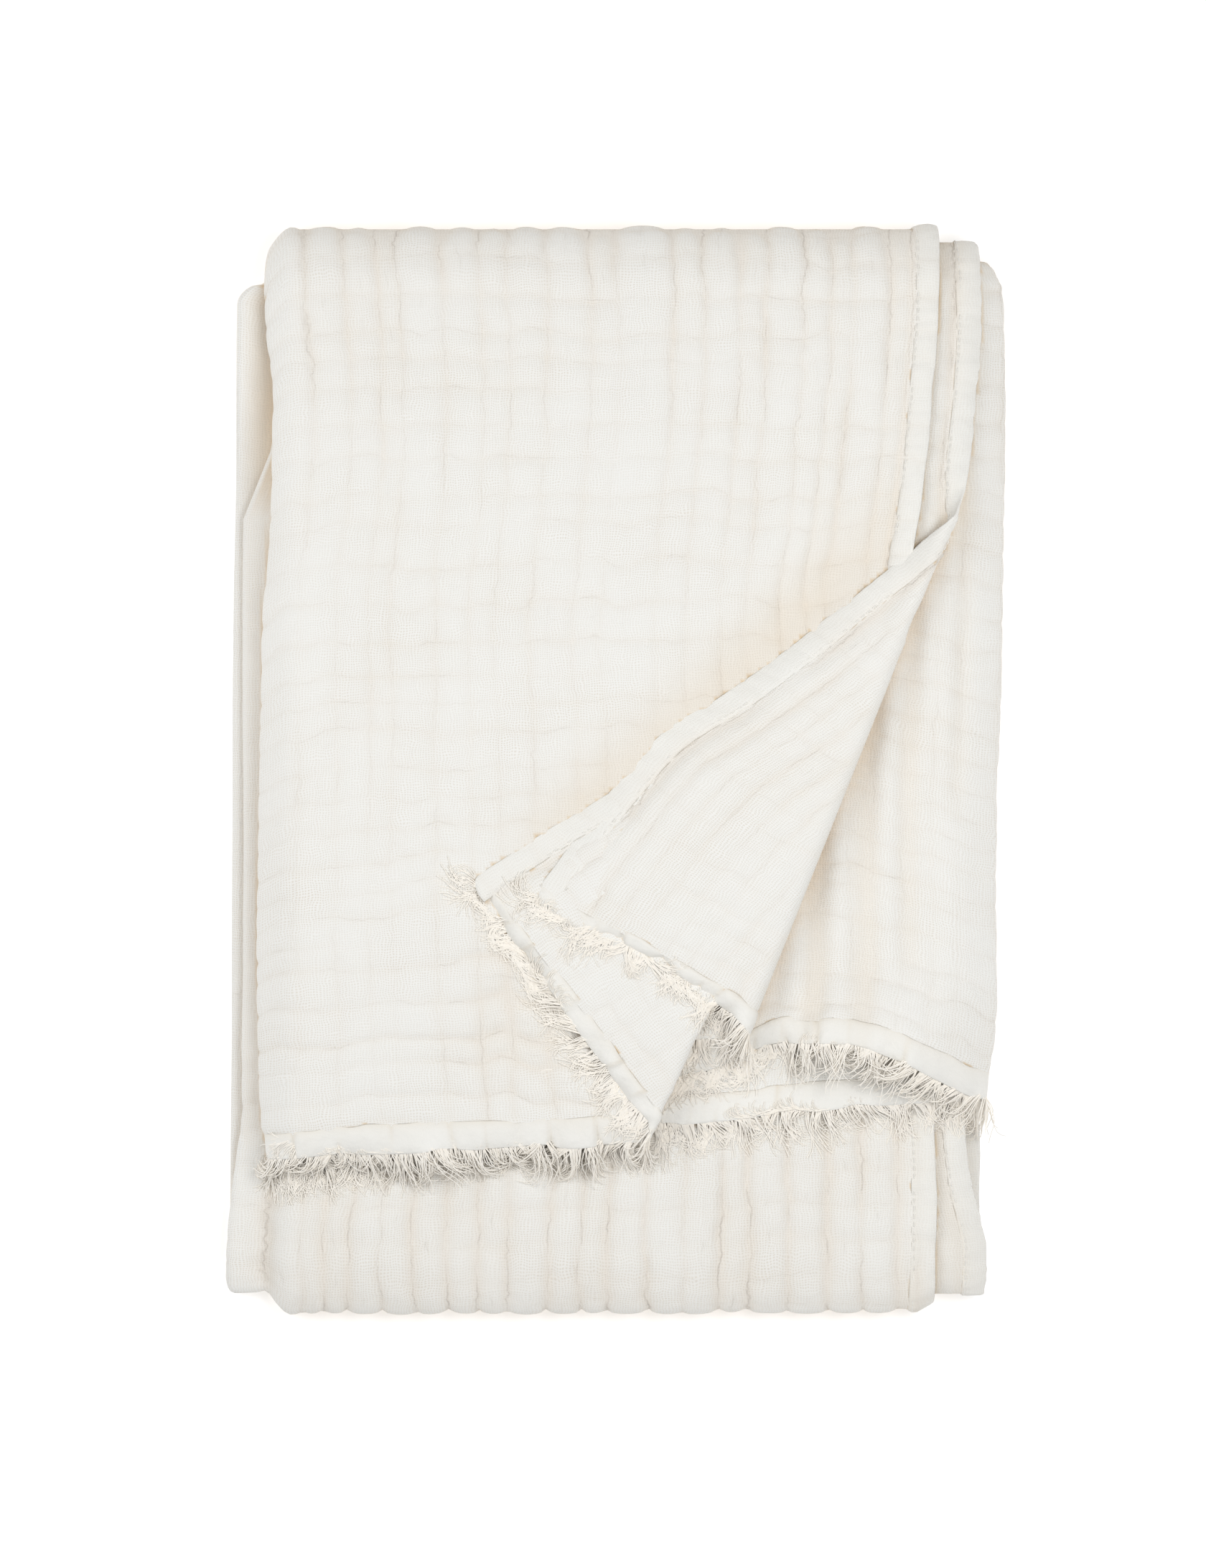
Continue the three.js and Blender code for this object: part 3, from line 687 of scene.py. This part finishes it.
# ---- Hems, bands and stitches ----

SECTION_SIDES = 14
CORNER_RADIUS = 7
BAND_CREASES = (-9, 12, 27, 40, 58, 71, 92, 106, 123, 141, 170, 191, 220, 236, 262, 285, 306)


def section_ring():
    """The rounded section of a hem or band: how far over its width, from -1 to 1, and how far up."""
    turn = 2 * np.pi * np.arange(SECTION_SIDES) / SECTION_SIDES
    rounded = lambda value, power: np.sign(value) * np.abs(value) ** power
    return rounded(np.cos(turn), 0.8), rounded(np.sin(turn), 1.3)


def corner_inset(from_corner):
    """How far a rounded corner's edge lies in, this far from where a sharp one would be."""
    still = np.maximum(0, CORNER_RADIUS - from_corner)
    return CORNER_RADIUS - np.sqrt(np.maximum(0, CORNER_RADIUS ** 2 - still ** 2))


def tuck(across):
    """How far in the band's free edge is rolled under: only on the corners that are turned back."""
    along = 0.01 + 0 * across
    stretch, x, y, height = layout(across, along)
    return BAND["tuck"] * sum(corners_over(stretch, x, y, along))


def ribbon(name, across, along, lift, sag=0.0, shade=0.0):
    """A closed strip round the cloth's edge. Each row of the arrays is one section of it."""
    points, depth = crinkled_point(across, along, lift)
    points[..., 2] = np.maximum(points[..., 2] - sag, HALF_THICKNESS / 2)
    # Painted shade for the material: how deep in a valley, plus the shade given.
    depth = VALLEY_SHADE["share"] * depth + shade
    return laid_on_cloth(name, across, along, points, tube_faces(1, *across.shape), depth)


def uneven(row, seed, distance, over_width):
    number, reach, change, by = row
    return by * swing(seed + number, distance / reach, over_width * change)


def make_hem(name, edge_across, inward, seed):
    """A side hem: the cloth's edge turned over, puckered a little by its stitches."""
    side, up = section_ring()
    start = float(tuck(np.array([edge_across + inward * 0.01]))[0]) / ALONG_LENGTHS[0]
    along = ALONG_PLACES_FINE[:, None] + 0 * side
    along = np.where(along < 1, start + along * (1 - start), along)
    layer_length = ACROSS_LENGTHS[0 if edge_across == 0 else -1]
    v = opened(ALONG_LENGTHS, along)
    by = {name: uneven(row, seed, v, side) for name, row in HEM_UNEVEN.items()}
    width = HEM["width"] * (1 + by["width"])
    wave = by["wave"] * (1 - side) / 2
    inset = corner_inset(np.minimum(v - start * ALONG_LENGTHS[0], CLOTH_LENGTH - v))
    across = edge_across + inward * (inset + (1 + side) / 2 * (width - inset) + wave) / layer_length
    return ribbon(name, across, along, up * HEM["thickness"] / 2 + (by["pucker"] + by["slow_pucker"]))


def make_band(name, end, inward, panel_length, free, seed):
    """The smooth woven band at an end. It is longer than the crinkled cloth, so it ruffles."""
    free = free * showing(ACROSS_PLACES_FINE, end + 0 * ACROSS_PLACES_FINE)[:, None]
    side, up = section_ring()
    across = ACROSS_PLACES_FINE[:, None] + 0 * side
    u = opened(ACROSS_LENGTHS, across)
    outer = (1 - side) / 2
    by = {name: uneven(row, seed, u, outer) for name, row in BAND_UNEVEN.items()}
    further = valley_lines(seed, CLOTH_WIDTH, 19, 1.1)
    lines = np.concatenate([BAND_CREASES, further[further > BAND_CREASES[-1] + 9]])
    deep = lambda line: np.maximum(0, 2.6 * noise(seed + 1, line * 3.1, outer) - 0.7)
    crease = valleys(lines, u + by["slant"] * outer, deep, 0.9, ROUND_VALLEY)
    ruffle = by["ruffle"] + by["fine_ruffle"] - crease * BAND["creased"]
    wave = by["wave"] * outer + BAND["drawn"] * crease * outer + by["inner_wave"] * (1 - outer)
    tucked = tuck(across) * (end == 0)
    inset = tucked + corner_inset(from_edge(u, CLOTH_WIDTH)) * (1 - tucked / BAND["width"])
    distance = inset + (1 + side) / 2 * (BAND["width"] - inset) + wave
    along = end + inward * distance / panel_length
    free = free * (1 + 0.5 * tucked / BAND["tuck"])
    sag = BAND["sag"] * free * (0.5 + noise(seed + 5, u / 35, 0)) * outer ** 2
    lift = up * BAND["thickness"] / 2 + ruffle * free * (0.2 + 0.8 * outer)
    # Painted shade in the band's creases and along its inner edge.
    shade = BAND["shade"] * np.clip(crease, 0, 1) + BAND["shade"] * (1 - outer) ** 6
    return ribbon(name, across, along, lift, sag, shade)


def make_stitches(name, edge_across, inward):
    """The row of stitches that holds a hem, on both of its faces."""
    along = folded(ALONG_LENGTHS, np.arange(BAND["tuck"] + 4, CLOTH_LENGTH - 4, STITCH["pitch"]))
    layer_length = ACROSS_LENGTHS[0 if edge_across == 0 else -1]
    across = edge_across + inward * (HEM["width"] - STITCH["inset"]) / layer_length + 0 * along
    ahead = unit(cloth_point(across, along + 2e-3) - cloth_point(across, along - 2e-3))
    normals, ahead = (np.tile(way, (2, 1))[:, None] for way in (cloth_normal(across, along), ahead))
    lift = HEM["thickness"] * 0.36 + 0 * across
    centres = np.concatenate([crinkled_point(across, along, way * lift)[0] for way in (1, -1)])
    paths = centres[:, None] + ahead * (STITCH_PLACES * STITCH["length"] / 2)[:, None]
    girths = STITCH_GIRTHS * STITCH["radius"]
    return make_tubes(name, paths, normals, np.cross(normals, ahead), STITCH["sides"], girths, rounded=True)


# ---- Fringes ----


def lay_down(tree, paths, clearance, head_room):
    """Lays each path on the first thing below it, or on the floor, once it is clear of the band."""
    for path, room in zip(paths, head_room):
        for point in path[2:]:
            above = Vector((point[0] * MM, point[1] * MM, (max(path[0, 2], point[2]) + room) * MM))
            hit = tree.ray_cast(above, Vector((0, 0, -1)), 0.06)[0]
            point[2] = max(point[2], clearance + (0 if hit is None else hit.z / MM))


def band_edge(band_piece, roots):
    """Along a band's free edge: the place of each root, the way outward, and the way along the edge."""
    points = np.array([vertex.co for vertex in band_piece.data.vertices]) / MM
    points = points.reshape(-1, SECTION_SIDES, 3)
    outer, inner = points[:, SECTION_SIDES // 2], points[:, 0]
    rows = opened(ACROSS_LENGTHS, ACROSS_PLACES_FINE)
    read = lambda values, at: np.stack([np.interp(at, rows, values[:, i]) for i in range(3)], axis=-1)
    place = read(outer, roots)
    outward = unit(place - read(inner, roots))
    ahead = read(outer, roots + 4) - read(outer, roots - 4)
    return place, outward, unit(ahead - outward * np.sum(ahead * outward, axis=-1, keepdims=True))


def make_fringe(name, band_piece, end, tuft_pitch, length, sag, seed, tree, raised=0.9):
    """Loose yarns in tufts along an end: each curls, sags and lies on what is below."""
    random = np.random.default_rng(seed)
    tufts = np.arange(3 + seed % 2 * tuft_pitch / 2, CLOTH_WIDTH - 3, tuft_pitch)[:, None]
    shape = (len(tufts), TUFT["strands"])
    roots = tufts + random.uniform(-TUFT["spread"], TUFT["spread"], shape) * TUFT["pitch"]
    roots = np.clip(roots, 0.5, CLOTH_WIDTH - 0.5)
    off_middle, roots = (roots - tufts).reshape(-1, 1), roots.reshape(-1, 1)
    root, tangent, sideways = (way[:, None] for way in band_edge(band_piece, roots.ravel()))

    def combed(number, slow, spread, own):
        """Values that change slowly along the end, a little between tufts, and least within one."""
        slowly = 2 * slow * swing(seed + number, tufts / 38, 0)
        by_tuft = slowly + random.normal(0, spread, tufts.shape)
        return (by_tuft + random.normal(0, own, shape)).reshape(-1, 1)

    lean, bend, phase = combed(*LEAN), combed(*BEND), combed(*CURL_START)
    splay = (SPLAY["by"] * np.exp(-far / SPLAY["over"]) for far in (roots, CLOTH_WIDTH - roots))
    lean = lean - next(splay) + next(splay)
    reach = (random.uniform(*length, tufts.shape) * random.uniform(0.65, 1.15, shape)).reshape(-1, 1)
    share = np.linspace(0, 1, TUFT["points"])[None, :]
    curl = CURL["swing"] * np.sin(2 * np.pi * CURL["turns"] * share + phase) * share
    heading = lean + bend * share ** 1.3 + curl + CURL["hook"] * bend * share ** 4
    step = reach / (TUFT["points"] - 1)
    forward = np.cumsum(np.cos(heading) * step, axis=1) - step - TUFT["rooted"]
    gathered = -TUFT["gathered"] * off_middle * smooth(share * 2.2)
    aside = np.cumsum(np.sin(heading) * step, axis=1) + gathered
    points = root + tangent * forward[..., None] + sideways * aside[..., None]
    lifted = random.uniform(0, raised, reach.shape) * np.sin(np.pi * np.minimum(share * 1.3, 1))
    points[..., 2] += lifted - sag * share ** 1.7
    on_top = tuck(folded(ACROSS_LENGTHS, roots.ravel())) / BAND["tuck"] * (end == 0)
    lay_down(tree, points, TUFT["radius"] + 0.1, HEAD_ROOM["flat"] + HEAD_ROOM["turned"] * on_top)
    points[..., 2] += random.uniform(0, 0.6 * raised, reach.shape) * smooth(share * 3)
    points[:, 1:-1] = (points[:, :-2] + 2 * points[:, 1:-1] + points[:, 2:]) / 4
    along = unit(np.gradient(points, axis=1))
    first = unit(np.cross(along, np.array([0.05, 0.03, 1.0])))
    second = TUFT["flatness"] * np.cross(along, first)
    radii = TUFT["radius"] * (1 - TUFT["taper"] * share[0])
    return make_tubes(name, points, first, second, TUFT["sides"], radii, rounded=False)


# ---- Materials ----


class Nodes:
    """Short calls for building nodes. What is fed in is a number, a tuple or a socket."""

    def __init__(self, made):
        made.use_nodes = True
        self.tree = made.node_tree
        self.shader = self.tree.nodes.get("Principled BSDF")

    def add(self, kind, values, **settings):
        node = self.tree.nodes.new("ShaderNode" + kind)
        for setting, value in settings.items():
            setattr(node, setting, value)
        self.feed(node, values)
        return node.outputs

    def feed(self, node, values):
        for name, value in values.items():
            socket = node.inputs[name]
            if isinstance(value, (int, float)):
                socket.default_value = value
            elif isinstance(value, tuple):
                socket.default_value = (*value, 1)[:len(socket.default_value)]
            else:
                self.tree.links.new(value, socket)

    def finish(self, colour, roughness, normal):
        self.feed(self.shader, {"Base Color": colour, "Roughness": roughness, "Normal": normal})

    def math(self, operation, *values, kind="Math"):
        return self.add(kind, dict(enumerate(values)), operation=operation)[0]

    def times(self, first, second):
        return self.math("MULTIPLY", first, second)

    def most(self, first, second):
        return self.math("MAXIMUM", first, second)

    def least(self, first, second):
        return self.math("MINIMUM", first, second)

    def rest(self, share):
        return self.math("SUBTRACT", 1.0, share)

    def between(self, start, end, share):
        return self.math("MULTIPLY_ADD", share, end - start, start)

    def noise(self, vector, scale, detail=2.0, output="Fac"):
        return self.add("TexNoise", {"Scale": scale, "Detail": detail, "Vector": vector})[output]

    def tint(self, share, start, end):
        """Colour start, going over to end by share."""
        return self.add("Mix", {"Factor": share, "A": start, "B": end}, data_type="RGBA")["Result"]

    def bump(self, height, distance, strength, **before):
        values = {"Distance": distance, "Strength": strength, "Height": height}
        return self.add("Bump", {**values, **before})["Normal"]

    def split(self, vector):
        return self.add("SeparateXYZ", {0: vector})

    def attribute(self, name):
        return self.add("Attribute", {}, attribute_name=name)["Fac"]

    def place_on_cloth(self):
        return self.add("UVMap", {}, uv_map="cloth")["UV"]


def plain_material(name, colour, roughness=0.95, sheen=0.06):
    made = bpy.data.materials.new(name)
    nodes = Nodes(made)
    nodes.feed(nodes.shader, {"Base Color": colour, "Roughness": roughness, "Specular IOR Level": 0.15,
                              "Sheen Weight": sheen, "Sheen Roughness": 0.6})
    return made, nodes


def yarns(nodes, place, pitch_across, pitch_along):
    """Two sockets: how much yarn covers a place, and how far it is from being a hole in the weave."""
    split = nodes.split(place)
    ridges = []
    for axis, pitch in enumerate((pitch_across, pitch_along)):
        turned = nodes.times(split[axis], 2 * math.pi / (pitch * MM))
        ridges.append(nodes.math("MULTIPLY_ADD", nodes.math("SINE", turned), 0.5, 0.5))
    cover = nodes.most(*ridges)
    return cover, nodes.times(*(nodes.rest(ridge) for ridge in ridges))


def wandering_place(nodes, vector):
    """The place on the cloth, shifted so that the yarns wander as they do in crinkled gauze."""
    for by, over in (("wander", "wander_over"), ("wiggle", "wiggle_over")):
        colour = nodes.noise(vector, 1 / (YARN[over] * MM), 1.0, "Color")
        centred = nodes.math("SUBTRACT", colour, (0.5,) * 3, kind="VectorMath")
        vector = nodes.math("MULTIPLY_ADD", centred, (YARN[by] * MM,) * 3, vector, kind="VectorMath")
    return vector


def ripple(nodes, place, axis, pitch):
    """Fine wandering valleys, one after another along an axis: 0 at their bottom and 1 between them."""
    values = {"Vector": place, "Scale": 1 / (pitch * MM) * RIPPLE["waves"], **RIPPLE_SHAPE}
    wave = nodes.add("TexWave", values, bands_direction=axis)["Fac"]
    return nodes.math("POWER", wave, RIPPLE["power"])


def crisp_creases(nodes, vector):
    """Two sockets: the soft run along a crease and its sharp bottom, from 0 to 1 at the deepest. Both paint
    shade in the creases, and the sharp one also bumps them.
    """
    wobble = nodes.split(nodes.noise(vector, 190, 2.0, "Color"))

    def patches(scale, middle):
        share = nodes.math("SUBTRACT", nodes.noise(vector, scale, 1.0), middle)
        return nodes.most(nodes.least(nodes.times(share, PATCH_GAIN), 1.0), 0.0)

    def near(place, offset, power):
        off = nodes.math("PINGPONG", nodes.math("ADD", place, offset), 0.5)
        return nodes.math("POWER", nodes.rest(nodes.times(off, 2.0)), power)

    soft, sharp = [], []
    for axis, (number, depth_name, scale) in enumerate(CREASE_WAYS):
        place = nodes.math("ADD", nodes.attribute(number), nodes.times(wobble[axis], CREASE_WOBBLE))
        depth = nodes.least(nodes.attribute(depth_name), 1.0)
        soft.append(nodes.times(near(place, *SOFT_LINE), depth))
        broken = nodes.times(patches(scale, 0.40), depth)
        sharp.append(nodes.times(near(place, *SHARP_LINE), broken))
        finer = nodes.times(near(place, *FINER_LINE), nodes.times(patches(81, 0.5), depth))
        sharp.append(nodes.times(finer, 0.5))
    sharpest = nodes.most(nodes.most(*sharp[:2]), nodes.most(*sharp[2:]))
    return nodes.most(*soft), sharpest


def muslin_material(name, openness, tones):
    """Crinkled cotton gauze: an open weave of wandering yarns, with painted warm shade in its valleys, its
    creases and where the sky is blocked.
    """
    made, nodes = plain_material(name, tones[0])
    vector = nodes.place_on_cloth()
    place = wandering_place(nodes, vector)
    cover, gap = yarns(nodes, place, YARN["across"], YARN["along"])
    patches = nodes.noise(vector, 28)
    holes = nodes.times(gap, nodes.times(patches, openness))
    soft, sharp = crisp_creases(nodes, vector)
    tone = nodes.tint(nodes.noise(vector, 12, 3.0), *tones)
    # Painted shade: warm from the depth attribute, and along the soft and sharp crease lines.
    for share, (most, shade) in zip((nodes.attribute("depth"), soft, sharp), PAINTED_VALLEY_SHADES):
        tone = nodes.tint(nodes.times(share, most), tone, shade)
    colour = nodes.tint(holes, tone, HOLE_TINT)
    ripples = nodes.least(ripple(nodes, place, "Y", 5.2), ripple(nodes, place, "X", 7.1))
    sharpened = nodes.bump(nodes.rest(sharp), 0.0011, 0.45)
    crepe = nodes.bump(ripples, 0.0004, 0.18, Normal=sharpened)
    weave = nodes.bump(cover, 0.0003, 0.3, Normal=crepe)
    nodes.finish(colour, nodes.between(0.97, 0.8, nodes.times(cover, patches)), weave)
    return made


def band_material():
    """The smooth, dense weave of the end bands."""
    made, nodes = plain_material("muslin_band", (0.88, 0.87, 0.84))
    vector = nodes.place_on_cloth()
    cover = yarns(nodes, vector, BAND_YARN, BAND_YARN)[0]
    tone = nodes.tint(nodes.noise(vector, 90, 3.0), *BAND_TONES)
    # Painted shade from the depth attribute, towards the bands' shade colour.
    colour = nodes.tint(nodes.times(nodes.attribute("depth"), 0.9), tone, BAND_SHADE_TINT)
    pucker = nodes.noise(vector, 210, 3.0)
    weave = nodes.bump(cover, 0.0001, 0.3, Normal=nodes.bump(pucker, 0.0012, 0.6))
    nodes.finish(colour, nodes.between(0.95, 0.78, pucker), weave)
    return made


def yarn_material(name, *tones):
    """Loose cotton yarn."""
    made, nodes = plain_material(name, tones[0], 0.9, 0.6)
    fuzz = nodes.noise(nodes.add("TexCoord", {})["Object"], 400)
    nodes.finish(nodes.tint(fuzz, *tones), nodes.between(0.98, 0.8, fuzz), nodes.bump(fuzz, 0.0002, 0.4))
    return made


# ---- Assembly ----


def surface_below(*pieces):
    """A tree of these pieces' faces, for the fringes to lie on."""
    points, faces = [], []
    for piece in pieces:
        start = len(points)
        points += [vertex.co.copy() for vertex in piece.data.vertices]
        faces += [[start + i for i in polygon.vertices] for polygon in piece.data.polygons]
    return BVHTree.FromPolygons(points, faces)


# Rings of directions: their height, how many there are, and where the first lies. A place with cloth close
# above misses at least the covered share of the sky. The painted shade fades out low down near the floor,
# in place of light from the pale floor. Lengths are in metres.
SKY_RINGS = ((0.92, 4, 0), (0.72, 6, 0.5), (0.45, 6, 0.5))
SHADE = {"lift": 0.0006, "reach": 0.05, "close": 0.004, "covered": 0.85, "power": 2.1, "shade_fade_height": 0.012}


def sky_directions():
    """Directions over the sky above, evenly weighted by how much light comes from each."""
    directions = []
    for height, count, start in SKY_RINGS:
        for turn in (np.arange(count) + start) * 2 * np.pi / count:
            flat = math.sqrt(1 - height * height)
            directions.append(Vector((flat * math.cos(turn), flat * math.sin(turn), height)))
    return directions


def warm_shade(piece, tree):
    """Adds how much sky a place misses to its depth, as painted warm shade where the sky is blocked."""
    directions = sky_directions()
    depth = piece.data.attributes["depth"].data
    up = Vector((0, 0, 1))
    for vertex in piece.data.vertices:
        start = vertex.co + up * SHADE["lift"]
        blocked = lambda toward, reach: tree.ray_cast(start, toward, reach)[0] is not None
        missed = sum(blocked(toward, SHADE["reach"]) for toward in directions) / len(directions)
        if blocked(up, SHADE["close"]):
            missed = max(missed, SHADE["covered"])
        # Painted shade, fading out near the floor.
        shade = missed ** SHADE["power"] * min(1.0, vertex.co.z / SHADE["shade_fade_height"])
        depth[vertex.index].value = min(1.0, depth[vertex.index].value + shade)


def add_piece(piece, made):
    piece.data.materials.append(made)
    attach(piece, "root")
    return piece


muslin = muslin_material("muslin", 0.95, ((0.888, 0.887, 0.860), (0.870, 0.863, 0.835)))
hem_muslin = muslin_material("muslin_hem", 0.45, ((0.884, 0.879, 0.847), (0.860, 0.854, 0.818)))
band = band_material()
yarn = yarn_material("fringe_yarn", (0.968, 0.938, 0.88), (0.95, 0.898, 0.815))
thread = yarn_material("hem_thread", (0.88, 0.87, 0.84), (0.84, 0.82, 0.77))
cloth = add_piece(make_cloth(), muslin)
hems = [
    add_piece(make_hem("hem_a", 0, 1, 31), hem_muslin),
    add_piece(make_hem("hem_b", 7, -1, 35), hem_muslin),
]
bands = [
    add_piece(make_band("band_visible_end", 0, 1, ALONG_LENGTHS[0], 1, 41), band),
    add_piece(make_band("band_hidden_end", 5, -1, ALONG_LENGTHS[-1], 0.2, 47), band),
]
below = surface_below(cloth, *hems, *bands)
warm_shade(cloth, below)
fringes = [add_piece(make_fringe(*values), yarn) for values in (
    ("fringe_visible", bands[0], 0, TUFT["pitch"], TUFT["length"], 8, 51, below, 0.7),
    ("fringe_hidden", bands[1], 5, TUFT["pitch"] * 4, (8, 12), 1, 52, below),
    ("fringe_visible_below", bands[0], 0, TUFT["pitch"], (14, 21), 12, 53, below, 0.2),
)]
stitches = [
    add_piece(make_stitches("stitches_a", 0, 1), thread),
    add_piece(make_stitches("stitches_b", 7, -1), thread),
]
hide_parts("cloth")
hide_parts("fringe_visible_end")
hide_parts("fringe_hidden_end")


# ---- Stage, light and camera ----


FLOOR_REACH, FLOOR_GLOW, SKY_STRENGTH = 3, 0.35, 0.43
LIGHTS = (  # name, place, watts and size
    ("key", (0.4, 0.06, 0.92), 4.2, 0.55),
    ("left_fill", (-0.7, 0.15, 0.75), 3.2, 0.6),
    ("front_fill", (0.1, -0.85, 0.6), 0.8, 0.7),
)
CAMERA = {"distance": 3.4, "picture_height": 0.710, "centre": (-0.0059, -0.0065)}


def add_stage():
    floor = bpy.data.meshes.new("floor")
    corners = [(x * FLOOR_REACH, y * FLOOR_REACH, 0) for x, y in ((-1, -1), (1, -1), (1, 1), (-1, 1))]
    floor.from_pydata(corners, [], [(0, 1, 2, 3)])
    piece = put("floor", floor)
    paper, nodes = plain_material("floor_paper", (0.9, 0.9, 0.9), 0.9, 0)
    nodes.feed(nodes.shader, {"Emission Color": (1, 1, 1), "Emission Strength": FLOOR_GLOW})
    floor.materials.append(paper)
    piece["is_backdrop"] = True


def add_light(name, place, energy, size):
    lamp = bpy.data.lights.new(name, "AREA")
    lamp.energy, lamp.size = energy, size
    holder = put(name, lamp)
    holder.location = place
    holder.rotation_euler = (-Vector(place)).to_track_quat("-Z", "Y").to_euler()


def add_world():
    world = bpy.data.worlds.new("studio")
    nodes = Nodes(world)
    nodes.feed(nodes.tree.nodes["Background"], {"Color": (1, 1, 1), "Strength": SKY_STRENGTH})
    bpy.context.scene.world = world
    bpy.context.scene.view_settings.view_transform = "Standard"


def add_camera():
    """Straight above, with the long side of the picture along Y."""
    lens = bpy.data.cameras.new("camera")
    lens.lens = lens.sensor_width * CAMERA["distance"] / CAMERA["picture_height"]
    camera = put("camera", lens)
    camera.location = (*CAMERA["centre"], CAMERA["distance"])
    bpy.context.scene.camera = camera


add_stage()
for light in LIGHTS:
    add_light(*light)
add_world()
add_camera()

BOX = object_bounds()
{"cad": [list(corner) for corner in CAD_BOX], "visual": [list(corner) for corner in BOX]}
